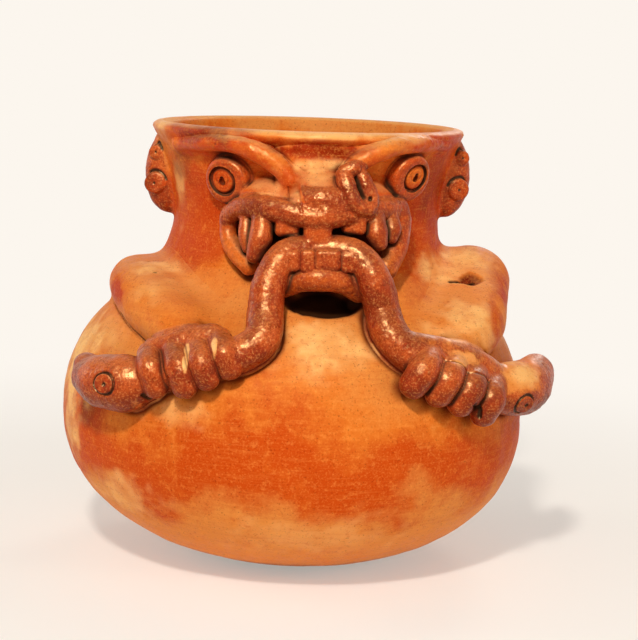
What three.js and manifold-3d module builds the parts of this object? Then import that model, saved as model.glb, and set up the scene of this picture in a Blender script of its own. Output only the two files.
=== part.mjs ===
// Effigy bowl: a round-bodied pot of fired clay with a flaring neck. Clay applied by hand makes a fanged face
// on the neck, two arms on the shoulder, and a two-headed serpent that the jaws bite and the hands grip.
// Millimetres, +Z up. The origin is the centre of the foot, and the face looks along -Y.
import * as THREE from "three";
import { mergeVertices } from "three/addons/utils/BufferGeometryUtils.js";
import Module from "manifold-3d";

const wasm = await Module();
wasm.setup();

// Vessel
const footRadius = 26;
const bellyRadius = 93;
const bellyHeight = 58;
const waistRadius = 52.8;
const rimRadius = 62.6;
const rimHeight = 174;
const neckHeight = 36; // from the waist up to the rim
const neckSeamDrop = 17; // from the waist down to the seam between body and neck
const rimRollHeight = 7;
const rimHalfWidth = 4.3;
const rimOverhang = 2.8; // the roll stands out past the top of the neck by this
const rimBulge = 2.5; // the roll is widest this far above its seam
const bodyWall = 7;
const neckWall = 6.2;
const floorThickness = 8;
const bellyLean = 3; // the belly bulges this far to the left of the foot
const bellySquareness = 2.2; // exponent of the curve from the foot to the belly
const shoulderBow = 48; // how long the shoulder stays wide above the belly
const waistBow = 33; // how long the neck stays narrow below the waist
const turns = 44; // flats round the vessel
const waistHeight = rimHeight - neckHeight;
const neckSeamHeight = waistHeight - neckSeamDrop;

// Heights of the applied clay
const mouthDrop = 4; // from the waist down to the middle of the mouth
const browDrop = 7.5; // from the rim down to the brows
const eyeDrop = 12.5; // from the brows down to the eyes
const foreheadDrop = 5.5; // from the brows down to the middle of the forehead
const noseDrop = 15.7; // from the brows down to the middle of the nose
const upperJawRise = 16; // from the mouth up to the middle of the upper jaw
const gripDrop = 44; // from the mouth down to where the hands grip the serpent
const mouthHeight = waistHeight - mouthDrop;
const gripHeight = mouthHeight - gripDrop;
const browHeight = rimHeight - browDrop;
const eyeHeight = browHeight - eyeDrop;

// Thickness of the applied clay
const lutingGap = 0.3; // clearance between any two pieces of clay
const browRadius = 3.6;
const lipRadius = 3.3;
const fangRadius = 3.9;
const nostrilRadius = 2.8;
const eyeRadius = 10;
const eyeStand = 4.6;
const eyeBallRadius = 5.3;
const eyeGroove = 0.6; // clearance between the eye's ball and its ring
const pupilRadius = 1;
const pupilDepth = 1.6;
const upperJawHalves = [29, 15, 10.5];
const lowerJawHalves = [16, 13, 5];
const foreheadHalves = [17, 8, 6];
const noseHalves = [13.5, 9, 8.4];
const noseLift = 6.1; // how far the middle of the nose stands off the neck
const foreheadSink = 3.1; // how deep the middle of the forehead lies in the neck
const upperJawSink = 3.7;
const serpentRadius = 6.8;
const serpentSink = 0.8; // how deep the serpent is pressed into the shoulder
const serpentHeadRadius = 10.6;
const serpentEyeRadius = 4.6;
const serpentEyeStand = 1.2;
const serpentEyeRoot = 3; // how deep the eye's disc reaches into the head
const serpentPupilDepth = 1;
const fingerRadius = 4.9;
const handRadius = 5.6;
const armRadius = 13;
const earReach = 16.5; // half of the ear's height
const earStand = 10.8;
const earThickness = 5.2; // half of the ear's thickness
const earDiscStand = 2.2;
const earDiscRoot = 2; // how deep a disc reaches into the ear

const buffClay = new THREE.MeshStandardMaterial({ color: 0xc9783f, roughness: 0.55, metalness: 0 });
const redSlip = new THREE.MeshStandardMaterial({ color: 0x9c4524, roughness: 0.42, metalness: 0 });

// Outline of the outside, from the edge of the foot to the top of the neck, as (radius, height).
function vesselOutline() {
  const foot = bellyHeight / (1 - (footRadius / bellyRadius) ** bellySquareness) ** (1 / bellySquareness);
  const points = [];
  for (const share of [0, 0.04, 0.1, 0.18, 0.28, 0.4, 0.55, 0.75]) {
    const height = bellyHeight * share;
    const drop = (bellyHeight - height) / foot;
    const radius = bellyRadius * (1 - drop ** bellySquareness) ** (1 / bellySquareness);
    points.push(new THREE.Vector2(radius, height));
  }
  const shoulder = new THREE.CubicBezierCurve(
    new THREE.Vector2(bellyRadius, bellyHeight),
    new THREE.Vector2(bellyRadius, bellyHeight + shoulderBow),
    new THREE.Vector2(waistRadius, waistHeight - waistBow),
    new THREE.Vector2(waistRadius, waistHeight),
  );
  const neckRise = (rimHeight - rimRollHeight - waistHeight) / 3;
  const neckTop = new THREE.Vector2(rimRadius - rimOverhang, rimHeight - rimRollHeight);
  const neck = new THREE.CubicBezierCurve(
    new THREE.Vector2(waistRadius, waistHeight),
    new THREE.Vector2(waistRadius, waistHeight + neckRise),
    new THREE.Vector2(neckTop.x - neckRise * 0.36, neckTop.y - neckRise),
    neckTop,
  );
  points.push(...shoulder.getPoints(10), ...neck.getPoints(4).slice(1));
  return points;
}

const outline = vesselOutline();

// Radius of the outside at a height; the rim roll counts as part of the neck.
function vesselRadius(height) {
  const above = outline.findIndex((point) => point.y >= height);
  if (above === 0) return outline[0].x;
  if (above < 0) return outline.at(-1).x;
  const low = outline[above - 1];
  const high = outline[above];
  return low.x + ((high.x - low.x) * (height - low.y)) / (high.y - low.y);
}

// The body's middle wanders to the left between the foot and the neck.
function lean(height) {
  const share = THREE.MathUtils.clamp(height / neckSeamHeight, 0, 1);
  return -bellyLean * Math.sin(Math.PI * share);
}

// A place on the outside of the vessel: degrees round from the front, height, and lift off the surface.
function onVessel(degrees, height, lift = 0) {
  const radius = vesselRadius(height) + lift;
  const angle = THREE.MathUtils.degToRad(degrees);
  return new THREE.Vector3(radius * Math.sin(angle) + lean(height), -radius * Math.cos(angle), height);
}

// A place on the shoulder: degrees round, above the grip, and lift off the middle of the serpent's coil.
function onShoulder(degrees, up, lift) {
  return onVessel(degrees, gripHeight + up, serpentRadius - serpentSink + lift);
}

// A place in the face: sideways, forward of the neck's waist, and above the mouth's middle.
function inFace(sideways, forward, up) {
  return new THREE.Vector3(sideways, -(waistRadius + forward), mouthHeight + up);
}

function toSolid(geometry) {
  const bare = geometry.clone();
  bare.deleteAttribute("normal");
  bare.deleteAttribute("uv");
  const merged = mergeVertices(bare, 1e-4);
  const corners = merged.index.array;
  const kept = [];
  for (let i = 0; i < corners.length; i += 3) {
    const [a, b, c] = corners.slice(i, i + 3);
    if (a !== b && b !== c && c !== a) kept.push(a, b, c);
  }
  const shape = { numProp: 3, vertProperties: merged.attributes.position.array };
  const made = new wasm.Manifold(new wasm.Mesh({ ...shape, triVerts: new Uint32Array(kept) }));
  if (made.volume() > 0) return made;
  return new wasm.Manifold(new wasm.Mesh({ ...shape, triVerts: new Uint32Array(kept.reverse()) }));
}

function toGeometry(solid) {
  const mesh = solid.getMesh();
  const geometry = new THREE.BufferGeometry();
  geometry.setAttribute("position", new THREE.BufferAttribute(mesh.vertProperties, 3));
  geometry.setIndex(new THREE.BufferAttribute(mesh.triVerts, 1));
  geometry.computeVertexNormals();
  return geometry;
}

function largestBody(solid) {
  return solid.decompose().reduce((best, body) => (body.volume() > best.volume() ? body : best));
}

// A solid of revolution about the vessel's axis, shifted sideways by the lean.
function turned(profile) {
  const geometry = new THREE.LatheGeometry(profile, turns).rotateX(Math.PI / 2);
  const position = geometry.attributes.position;
  for (let i = 0; i < position.count; i += 1) {
    position.setX(i, position.getX(i) + lean(position.getZ(i)));
  }
  return toSolid(geometry);
}

// The outline moved outwards by an offset along its normals.
function offsetOutline(points, offset) {
  return points.map((point, i) => {
    const before = points[Math.max(i - 1, 0)];
    const after = points[Math.min(i + 1, points.length - 1)];
    const along = after.clone().sub(before).normalize();
    return new THREE.Vector2(point.x + along.y * offset, point.y - along.x * offset);
  });
}

function bowlBody() {
  const outside = outline.filter((point) => point.y < neckSeamHeight - 1);
  const inside = offsetOutline(outside, -bodyWall).filter((point) => point.y > floorThickness + 2);
  const seamRadius = vesselRadius(neckSeamHeight);
  const floorRadius = inside[0].x - bodyWall;
  return turned([
    new THREE.Vector2(0, 0),
    ...outside,
    new THREE.Vector2(seamRadius, neckSeamHeight),
    new THREE.Vector2(seamRadius - bodyWall, neckSeamHeight),
    ...inside.reverse(),
    new THREE.Vector2(floorRadius, floorThickness),
    new THREE.Vector2(0, floorThickness),
  ]);
}

function neckCollar() {
  const seamRadius = vesselRadius(neckSeamHeight);
  const outside = outline.filter((point) => point.y > neckSeamHeight + 1);
  const inside = outside.map((point) => new THREE.Vector2(point.x - neckWall, point.y));
  const ring = [
    new THREE.Vector2(seamRadius - bodyWall, neckSeamHeight),
    new THREE.Vector2(seamRadius, neckSeamHeight),
    ...outside,
    ...inside.reverse(),
  ];
  return turned([...ring, ring[0].clone()]);
}

// Section of the rim roll above its seam, round on top.
function rimSection(grow) {
  const steps = 6;
  const points = [];
  for (let step = 0; step <= steps; step += 1) {
    const angle = (Math.PI * step) / steps;
    const out = rimRadius - rimHalfWidth + (rimHalfWidth + grow) * Math.cos(angle);
    const up = (rimRollHeight - rimBulge + grow) * Math.sin(angle);
    points.push(new THREE.Vector2(out, rimHeight - rimRollHeight + rimBulge + up));
  }
  return points;
}

function rimRoll() {
  const top = outline.at(-1);
  const ring = [new THREE.Vector2(top.x - neckWall, top.y), top.clone(), ...rimSection(0)];
  return turned([...ring, ring[0].clone()]);
}

// The whole outside as one filled solid, grown by the luting gap, to trim the backs of the applied pieces.
function vesselCore() {
  return turned([
    new THREE.Vector2(0, -lutingGap),
    new THREE.Vector2(footRadius, -lutingGap),
    ...offsetOutline(outline, lutingGap).filter((point) => point.y > 0),
    ...rimSection(lutingGap).filter((point) => point.x > rimRadius - rimHalfWidth),
    new THREE.Vector2(0, rimHeight + lutingGap),
  ]);
}

// A rolled coil of clay with round ends, through the points, as thick at each as the radii say.
function roll(points, radii, grow, steps = 6, sides = 8) {
  const path = new THREE.CatmullRomCurve3(points);
  const frames = path.computeFrenetFrames(steps, false);
  const rings = [];
  const radiusAt = (t) => {
    const place = t * (radii.length - 1);
    const low = Math.min(Math.floor(place), radii.length - 2);
    return radii[low] + (radii[low + 1] - radii[low]) * (place - low) + grow;
  };
  const ring = (index, back, share) => {
    const centre = path.getPoint(index / steps).addScaledVector(frames.tangents[index], back);
    const radius = radiusAt(index / steps) * share;
    for (let side = 0; side < sides; side += 1) {
      const angle = (2 * Math.PI * side) / sides;
      const corner = centre.clone();
      corner.addScaledVector(frames.normals[index], radius * Math.cos(angle));
      corner.addScaledVector(frames.binormals[index], radius * Math.sin(angle));
      rings.push(corner);
    }
  };
  const roundness = Math.SQRT1_2;
  ring(0, -roundness * radiusAt(0), roundness);
  for (let index = 0; index <= steps; index += 1) ring(index, 0, 1);
  ring(steps, roundness * radiusAt(1), roundness);
  const startPole = path.getPoint(0).addScaledVector(frames.tangents[0], -radiusAt(0));
  const endPole = path.getPoint(1).addScaledVector(frames.tangents.at(-1), radiusAt(1));
  return closedTube(rings, sides, startPole, endPole);
}

// Joins rings of corners into one closed skin, with a pole beyond each end.
function closedTube(rings, sides, startPole, endPole) {
  const count = rings.length / sides;
  const faces = [];
  const first = rings.length;
  const last = first + 1;
  for (let side = 0; side < sides; side += 1) {
    const next = (side + 1) % sides;
    faces.push(first, next, side);
    faces.push(last, (count - 1) * sides + side, (count - 1) * sides + next);
    for (let row = 0; row < count - 1; row += 1) {
      const low = row * sides;
      const high = low + sides;
      faces.push(low + side, low + next, high + next);
      faces.push(low + side, high + next, high + side);
    }
  }
  const geometry = new THREE.BufferGeometry().setFromPoints([...rings, startPole, endPole]);
  return toSolid(geometry.setIndex(faces));
}

// A pat of clay: an ellipsoid with its second axis turned to face the given direction.
function pat(centre, halves, facing, grow) {
  const geometry = new THREE.SphereGeometry(1, 12, 8);
  geometry.scale(halves[0] + grow, halves[1] + grow, halves[2] + grow);
  const turn = Math.atan2(facing.x, -facing.y);
  geometry.rotateZ(turn).translate(centre.x, centre.y, centre.z);
  return toSolid(geometry);
}

// A turned disc on a seat, its axis along the outward direction; the profile runs as (radius, stand).
function disc(seat, outward, profile) {
  const corners = profile.map(([radius, stand]) => new THREE.Vector2(radius, stand));
  const turn = new THREE.Quaternion().setFromUnitVectors(new THREE.Vector3(0, 1, 0), outward);
  const geometry = new THREE.LatheGeometry(corners, 16).applyQuaternion(turn);
  return toSolid(geometry.translate(seat.x, seat.y, seat.z));
}

// The way the vessel's outside faces at a place.
function outwardAt(degrees, height) {
  const upwards = onVessel(degrees, height + 2).sub(onVessel(degrees, height - 2));
  const sideways = onVessel(degrees + 1, height).sub(onVessel(degrees - 1, height));
  return sideways.cross(upwards).normalize();
}

const effigy = new THREE.Group();
const placed = [];

function addMesh(name, material, solid) {
  const mesh = new THREE.Mesh(toGeometry(solid), material);
  mesh.name = name;
  effigy.add(mesh);
}

const core = vesselCore();

// Presses a piece onto the vessel and onto the pieces applied before it, each of which trims it.
function apply(name, material, shape) {
  let solid = shape(0).subtract(core);
  for (const earlier of placed) solid = solid.subtract(earlier);
  placed.push(shape(lutingGap));
  addMesh(name, material, largestBody(solid));
}

addMesh("bowl_body", buffClay, bowlBody());
addMesh("neck_collar", buffClay, neckCollar());
addMesh("rim_roll", buffClay, rimRoll());

// Serpent: two coils that meet in the mouth, run down to the shoulder and out through the hands
const jawRoutes = {
  left: [[-0.15, 13.5, -3], [-9.6, 15.5, -3.8], [-15.4, 18, -9], [-18.5, 20, -17]],
  right: [[0.15, 13.5, -3], [9.4, 15.5, -3], [16.6, 18, -7.4], [20.8, 20, -15]],
};
const shoulderRoutes = {
  left: [[-13.7, 17.5, 3], [-13.2, 9.9, 1], [-17.1, 4.6, 0], [-25.6, 0.7, 0], [-33, -3.5, 0], [-38.6, -7, 0]],
  right: [[19, 20, 3], [19.4, 13.4, 1], [22.3, 6.9, 0], [28.3, 0.8, 0], [36, -4.8, 0], [46.5, -9.8, 0]],
};
const headRoutes = {
  left: [[-39.4, -8, 0], [-44, -10.2, 1.5], [-49.5, -11.6, 2.5], [-55, -10.8, 2.5]],
  right: [[47.4, -10.2, 0], [53, -11.4, 1.5], [60, -11.6, 3.5], [66, -8, 6.5]],
};
const serpentEyes = {
  left: { under: [-46, -10, 1.8], facing: [-0.5, -0.86, 0.1], share: 0.95 },
  right: { under: [51, -11.2, 1.1], facing: [0.25, -0.88, -0.4], share: 0.9 },
};

function serpentBody(hand, grow) {
  const inMouth = jawRoutes[hand].map((place) => inFace(...place));
  const downShoulder = shoulderRoutes[hand].map((place) => onShoulder(...place));
  const shares = [0.76, 0.78, 0.88, 0.97, 1, 1.02, 1.02, 1, 1, 1];
  const radii = shares.map((share) => share * serpentRadius);
  return roll([...inMouth, ...downShoulder], radii, grow, 20, 10);
}

function serpentHead(hand, grow) {
  const points = headRoutes[hand].map((place) => onShoulder(...place));
  const radii = [0.78, 1, 0.98, 0.68].map((share) => share * serpentHeadRadius);
  return roll(points, radii, grow, 6, 12);
}

function serpentEye(hand, grow) {
  const { under, facing, share } = serpentEyes[hand];
  const outward = new THREE.Vector3(...facing).normalize();
  const seat = onShoulder(...under).addScaledVector(outward, share * serpentHeadRadius);
  const radius = serpentEyeRadius + grow;
  const stand = serpentEyeStand + grow;
  return disc(seat, outward, [
    [0, -serpentEyeRoot - grow],
    [radius, -serpentEyeRoot - grow],
    [radius, stand * 0.5],
    [radius * 0.75, stand],
    [pupilRadius, stand],
    [0, stand - serpentPupilDepth],
  ]);
}

for (const hand of ["left", "right"]) {
  apply(`serpent_body_${hand}`, redSlip, (grow) => serpentBody(hand, grow));
}
for (const hand of ["left", "right"]) {
  apply(`serpent_eye_${hand}`, redSlip, (grow) => serpentEye(hand, grow));
  apply(`serpent_head_${hand}`, redSlip, (grow) => serpentHead(hand, grow));
}

// Jaws
const front = new THREE.Vector3(0, -1, 0);
const upperJaw = onVessel(0, mouthHeight + upperJawRise, -upperJawSink);
apply("upper_jaw", buffClay, (grow) => pat(upperJaw, upperJawHalves, front, grow));
apply("lower_jaw", buffClay, (grow) => pat(inFace(0, 7, -12.5), lowerJawHalves, front, grow));

// Lips: places from the side of the mouth to its middle, and thickness
const lips = {
  upper_lip_left: {
    route: [[-31.7, -6, 6.5], [-27.6, 0, 10], [-21.6, 7, 11.3], [-14.5, 12, 10.6], [-7.4, 15.5, 9.4], [-1.8, 16.5, 8.3]],
    share: 1,
  },
  upper_lip_right: {
    route: [[31.2, -4, 10.8], [25, 4, 11], [16.1, 11, 11.1], [7.9, 15, 10.5], [2, 16.5, 9]],
    share: 1.2,
  },
  lip_corner_left: {
    route: [[-32.2, -6.5, 2.5], [-31.6, -4.5, -2], [-28.6, -0.5, -7], [-24.8, 4, -11]],
    share: 0.9,
  },
  lip_corner_right: {
    route: [[32.6, -5, 4], [32.2, -3, -1.5], [29.4, 2, -7], [26, 6, -11]],
    share: 1.3,
  },
  lower_lip: {
    route: [[-12.3, 13, -17.5], [-6.8, 18, -14.4], [0.2, 20, -13.2], [8.6, 18, -14.4], [15.5, 13, -18.5]],
    share: 1.25,
  },
};
for (const [name, { route, share }] of Object.entries(lips)) {
  const points = route.map((place) => inFace(...place));
  const radii = [0.8, 1, 1].map((part) => part * share * lipRadius);
  apply(name, redSlip, (grow) => roll(points, radii, grow, 7));
}

// Fangs: root, tip and thickness of each
const fangs = {
  fang_left_inner: [[-20.4, 5, 8], [-24.2, 9.5, -6.2], 1],
  fang_left_outer: [[-26.2, -0.5, 7.5], [-25.4, 4, -3.6], 0.62],
  fang_right_inner: [[20.6, 6.5, 8], [22.2, 10, 0.4], 0.95],
  fang_right_outer: [[27.4, 0.5, 8], [27.2, 4, 1], 0.7],
};
for (const [name, [root, tip, share]] of Object.entries(fangs)) {
  const points = [inFace(...root), inFace(...root).lerp(inFace(...tip), 0.5), inFace(...tip)];
  const radii = [1, 1, 0.72].map((part) => part * share * fangRadius);
  apply(name, redSlip, (grow) => roll(points, radii, grow, 3));
}

// Front teeth: flat pats, as place and half sizes
const teeth = {
  upper_tooth_middle: [[-0.7, 14.5, 3], [5.4, 4, 5.6]],
  upper_tooth_left: [[-11.5, 11, 5.4], [4.8, 4, 4]],
  upper_tooth_right: [[12.8, 11, 6.6], [4.8, 4, 3.6]],
  lower_tooth_1: [[-10.4, 19.6, -7.4], [2.4, 3.2, 3.6]],
  lower_tooth_2: [[-5.2, 19.8, -6.6], [2.6, 3.2, 3.6]],
  lower_tooth_3: [[2.8, 20, -6.4], [4.6, 3.2, 3.8]],
  lower_tooth_4: [[10.3, 19.6, -7], [2.4, 3.2, 3.6]],
};
for (const [name, [place, halves]] of Object.entries(teeth)) {
  apply(name, redSlip, (grow) => pat(inFace(...place), halves, front, grow));
}

// Nose: a broad mass under the forehead, with two curled folds of clay on its right wing
const forehead = onVessel(0, browHeight - foreheadDrop, -foreheadSink);
const nose = onVessel(0, browHeight - noseDrop, noseLift);
apply("forehead_band", buffClay, (grow) => pat(forehead, foreheadHalves, front, grow));
apply("nose", redSlip, (grow) => pat(nose, noseHalves, front, grow));
const nostrils = {
  nostril_fold_inner: [[8.7, 13, 26], [11.4, 16, 20], [14.6, 15, 13.6]],
  nostril_fold_outer: [[14.3, 10, 25], [17.2, 12, 19.2], [19.4, 11, 13.6]],
};
for (const [name, route] of Object.entries(nostrils)) {
  const points = route.map((place) => inFace(...place));
  const radii = [0.86, 1, 0.9].map((share) => share * nostrilRadius);
  apply(name, redSlip, (grow) => roll(points, radii, grow, 4));
}

// Brows: each runs from the side of the rim down to the root of the nose
const browRoutes = {
  brow_left: [[-62, -1.5, -0.5], [-46, 0.2, 0], [-33, 0.6, 0.2], [-23, -0.4, 1], [-16.5, -3.2, 2], [-11.5, -7.2, 2.6]],
  brow_right: [[56, 1.2, -0.5], [41, 1.6, 0], [28, 1.4, 0.8], [19.5, -0.6, 1.8], [13.5, -4, 2.6], [10, -7.4, 2.6]],
};
for (const [name, route] of Object.entries(browRoutes)) {
  const points = route.map(([degrees, up, lift]) => onVessel(degrees, browHeight + up, lift));
  const radii = [0.6, 0.8, 0.9, 1, 1.05, 1.05].map((share) => share * browRadius);
  apply(name, buffClay, (grow) => roll(points, radii, grow, 9));
}

// Eyes: a ball with a punched pupil, off centre in a raised ring, as degrees round and above the eyes' height
const eyes = {
  left: { ring: [-35.4, 0], ball: [-36.6, 0.3] },
  right: { ring: [37, 2.9], ball: [38.2, 3.6] },
};

function eyeBall([degrees, up], grow) {
  const height = eyeHeight + up;
  const radius = eyeBallRadius + grow;
  const stand = eyeStand * 0.9 + grow;
  return disc(onVessel(degrees, height), outwardAt(degrees, height), [
    [0, -eyeStand],
    [radius, -eyeStand],
    [radius, stand * 0.45],
    [radius * 0.75, stand * 0.9],
    [pupilRadius, stand],
    [pupilRadius * 0.6, stand - pupilDepth],
    [0, stand - pupilDepth],
  ]);
}

function eyeRing({ ring, ball }, grow) {
  const ringHeight = eyeHeight + ring[1];
  const ballHeight = eyeHeight + ball[1];
  const outer = eyeRadius + grow;
  const dome = disc(onVessel(ring[0], ringHeight), outwardAt(ring[0], ringHeight), [
    [0, -eyeStand],
    [outer, -eyeStand],
    [outer, eyeStand * 0.3],
    [outer * 0.86, eyeStand * 0.8 + grow],
    [outer * 0.62, eyeStand + grow],
    [0, eyeStand + grow],
  ]);
  const hole = eyeBallRadius + eyeGroove - grow;
  const socket = disc(onVessel(ball[0], ballHeight), outwardAt(ball[0], ballHeight), [
    [0, -2 * eyeStand],
    [hole, -2 * eyeStand],
    [hole, 2 * eyeStand],
    [0, 2 * eyeStand],
  ]);
  return dome.subtract(socket);
}

for (const [hand, places] of Object.entries(eyes)) {
  apply(`eye_ball_${hand}`, buffClay, (grow) => eyeBall(places.ball, grow));
  apply(`eye_ring_${hand}`, buffClay, (grow) => eyeRing(places, grow));
}

// Ears: a flap each side of the neck, as degrees round and above the eyes, with two discs on its front,
// as outward and up from the flap's middle, and radius
const ears = {
  left: { side: -1, flap: [-88, -4], upper: [6.8, 6.5, 3.2], lower: [6, -6, 4.2] },
  right: { side: 1, flap: [80, 0], upper: [6.6, 6.3, 3.2], lower: [4, -5.4, 4.5] },
};

function earDisc(middle, facing, side, [out, up, radius], grow) {
  const sideways = new THREE.Vector3(-facing.y, facing.x, 0).multiplyScalar(side);
  const rise = earThickness * Math.sqrt(1 - (out / earStand) ** 2 - (up / earReach) ** 2);
  const seat = middle.clone().addScaledVector(sideways, out).addScaledVector(facing, rise);
  seat.z += up;
  return disc(seat, facing, [
    [0, -earDiscRoot - grow],
    [radius + grow, -earDiscRoot - grow],
    [radius + grow, earDiscStand * 0.4],
    [radius * 0.6, earDiscStand + grow],
    [0, earDiscStand + grow],
  ]);
}

for (const [hand, ear] of Object.entries(ears)) {
  const facing = new THREE.Vector3(ear.side * 0.25, -1, 0).normalize();
  const middle = onVessel(ear.flap[0], eyeHeight + ear.flap[1]);
  for (const level of ["upper", "lower"]) {
    const name = `ear_disc_${level}_${hand}`;
    apply(name, buffClay, (grow) => earDisc(middle, facing, ear.side, ear[level], grow));
  }
  const halves = [earStand, earThickness, earReach];
  apply(`ear_${hand}`, buffClay, (grow) => pat(middle, halves, facing, grow));
}

// Hands: the back of each hand along the top of the serpent, and four fingers over it
const handRoutes = {
  left: [[-39, 2, 0.5], [-33, 6, 1.5], [-25.5, 8.8, 1.5]],
  right: [[25.5, 7, 1.5], [33.6, 4.5, 1.5], [42, -0.2, 1.5], [48.5, -6, 0.5]],
};
const fingerRoutes = {
  left: [
    [[-38.9, 1, 2], [-35.4, -2.7, 5.5], [-34.2, -8.3, 1.5]],
    [[-33.9, 3.5, 2], [-29.9, -1.1, 5.5], [-28.4, -7.5, 1.5]],
    [[-28.7, 6, 2], [-25.1, 1.6, 5.5], [-23.8, -4.1, 1.5]],
    [[-23.5, 8.2, 2], [-20.5, 4.8, 5.5], [-19.2, 0.1, 1.5]],
  ],
  right: [
    [[29, 4, 2], [24.7, 0.1, 5.5], [22.9, -5, 1.5]],
    [[34.8, 0.4, 2], [30.4, -3.5, 5.5], [29.2, -8.7, 1.5]],
    [[40.2, -4, 2], [36, -7.7, 5.5], [34.8, -12.8, 1.5]],
    [[45.6, -8.5, 2], [41.6, -12.2, 5.5], [41.4, -17.4, 1.5]],
  ],
};
for (const hand of ["left", "right"]) {
  const back = handRoutes[hand].map((place) => onShoulder(...place));
  const backRadii = [1, 1, 0.95].map((share) => share * handRadius);
  apply(`hand_${hand}`, redSlip, (grow) => roll(back, backRadii, grow, 5));
  fingerRoutes[hand].forEach((route, i) => {
    const points = route.map((place) => onShoulder(...place));
    const radii = [0.95, 1, 0.9].map((share) => share * fingerRadius);
    apply(`finger_${hand}_${i + 1}`, redSlip, (grow) => roll(points, radii, grow, 4));
  });
}

// Arms: a low broad coil from the shoulder to the wrist, sunk in the vessel's side
const arms = {
  arm_left: {
    route: [[-83, 19, -2.5], [-66, 15.5, -3], [-50, 12, -3], [-37, 11, -1]],
    shares: [1, 1, 0.91, 0.73],
  },
  arm_right: {
    route: [[80, 22, 4], [72, 16.5, -0.5], [59, 11.5, -2], [48, 7.5, -2]],
    shares: [1.27, 1.14, 1, 0.92],
  },
};
for (const [name, { route, shares }] of Object.entries(arms)) {
  const points = route.map(([degrees, up, lift]) => onVessel(degrees, gripHeight + up, lift));
  const radii = shares.map((share) => share * armRadius);
  apply(name, buffClay, (grow) => roll(points, radii, grow, 7, 14));
}

export default effigy;
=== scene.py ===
# Effigy bowl: the surface and the looks, built round the fixed solids. Shapes are worked out in millimetres
# in the solids' frame (+Z up, the face looks along -Y) and turned into metres when a mesh is made.
import math

import bpy
import numpy as np
from mathutils import Matrix, Vector


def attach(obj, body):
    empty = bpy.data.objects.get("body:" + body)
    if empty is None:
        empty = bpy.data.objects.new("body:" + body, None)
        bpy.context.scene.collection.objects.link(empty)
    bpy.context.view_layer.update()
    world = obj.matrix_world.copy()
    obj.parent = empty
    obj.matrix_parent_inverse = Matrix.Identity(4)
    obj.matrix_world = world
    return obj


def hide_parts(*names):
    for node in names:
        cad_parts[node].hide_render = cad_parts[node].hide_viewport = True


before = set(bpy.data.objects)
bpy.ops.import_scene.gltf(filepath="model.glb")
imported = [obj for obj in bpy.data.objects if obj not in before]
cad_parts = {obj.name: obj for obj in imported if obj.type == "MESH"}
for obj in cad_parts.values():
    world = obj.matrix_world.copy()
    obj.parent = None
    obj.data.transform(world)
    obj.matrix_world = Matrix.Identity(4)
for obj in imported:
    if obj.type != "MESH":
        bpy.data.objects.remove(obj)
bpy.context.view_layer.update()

MM = 0.001  # in metres

# Vessel
FOOT_RADIUS = 26.0
BELLY_RADIUS = 92.6
BELLY_HEIGHT = 58.0
WAIST_RADIUS = 52.6
WAIST_HEIGHT = 138.0
SEAM_HEIGHT = 121.0
RIM_RADIUS = 62.2
RIM_HEIGHT = 173.6
NECK_TOP_HEIGHT = 167.0
RIM_OVERHANG = 2.6
BODY_WALL = 7.0
NECK_WALL = 6.2
FLOOR_THICKNESS = 8.0
TOP = 173.95  # nothing of the rim stands above this
BELOW_TOP = 1.3  # how far under it everything else ends
BELLY_LEAN = 3.0
BELLY_SQUARENESS = 2.2
SHOULDER_BOW = 48.0
WAIST_BOW = 33.0
NECK_FLARE = 0.36  # outward over upward, at the top of the neck
BELLY_STEPS, SHOULDER_STEPS, NECK_STEPS = 160, 120, 50

# Applied clay
MOUTH_HEIGHT = 134.0
BROW_HEIGHT = 166.5
EYE_HEIGHT = 154.0
GRIP_HEIGHT = 90.0
SERPENT_RADIUS = 6.8
SERPENT_LIFT = 6.0
SERPENT_HEAD_RADIUS = 10.4
FINGER_RADIUS = 5.0
HAND_RADIUS = 5.8
ARM_RADIUS = 13.0
LIP_RADIUS = 3.4
FANG_RADIUS = 3.9
BROW_RADIUS = 4.0
EYE_RADIUS = 10.0
EYE_STAND = 4.6
EYE_BALL_RADIUS = 5.3
EMBED = 2.0  # how deep a piece reaches into the clay under it
SKIRT = 0.93  # share of its fillet at which a piece's skirt ends

COARSE, MEDIUM, FINE = 0.6, 0.5, 0.42  # spacing of the surface nets


def bezier(corners, steps):
    """Points along a cubic curve, without its first."""
    t = np.linspace(0, 1, steps + 1)[1:, None]
    a, b, c, d = (np.array(corner, float) for corner in corners)
    return (1 - t) ** 3 * a + 3 * (1 - t) ** 2 * t * b + 3 * (1 - t) * t**2 * c + t**3 * d


def vessel_outline():
    """(radius, height) from the edge of the foot to the top of the neck."""
    foot = BELLY_HEIGHT / (1 - (FOOT_RADIUS / BELLY_RADIUS) ** BELLY_SQUARENESS) ** (1 / BELLY_SQUARENESS)
    height = BELLY_HEIGHT * np.linspace(0, 1, BELLY_STEPS + 1) ** 2
    drop = (BELLY_HEIGHT - height) / foot
    radius = BELLY_RADIUS * (1 - drop**BELLY_SQUARENESS) ** (1 / BELLY_SQUARENESS)
    belly = np.stack([radius, height], 1)
    widest, waist = (BELLY_RADIUS, BELLY_HEIGHT), (WAIST_RADIUS, WAIST_HEIGHT)
    over, under = (BELLY_RADIUS, BELLY_HEIGHT + SHOULDER_BOW), (WAIST_RADIUS, WAIST_HEIGHT - WAIST_BOW)
    shoulder = bezier([widest, over, under, waist], SHOULDER_STEPS)
    rise = (NECK_TOP_HEIGHT - WAIST_HEIGHT) / 3
    top = (RIM_RADIUS - RIM_OVERHANG, NECK_TOP_HEIGHT)
    flare = (top[0] - rise * NECK_FLARE, top[1] - rise)
    neck = bezier([waist, (WAIST_RADIUS, WAIST_HEIGHT + rise), flare, top], NECK_STEPS)
    return np.concatenate([belly, shoulder, neck])


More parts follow.
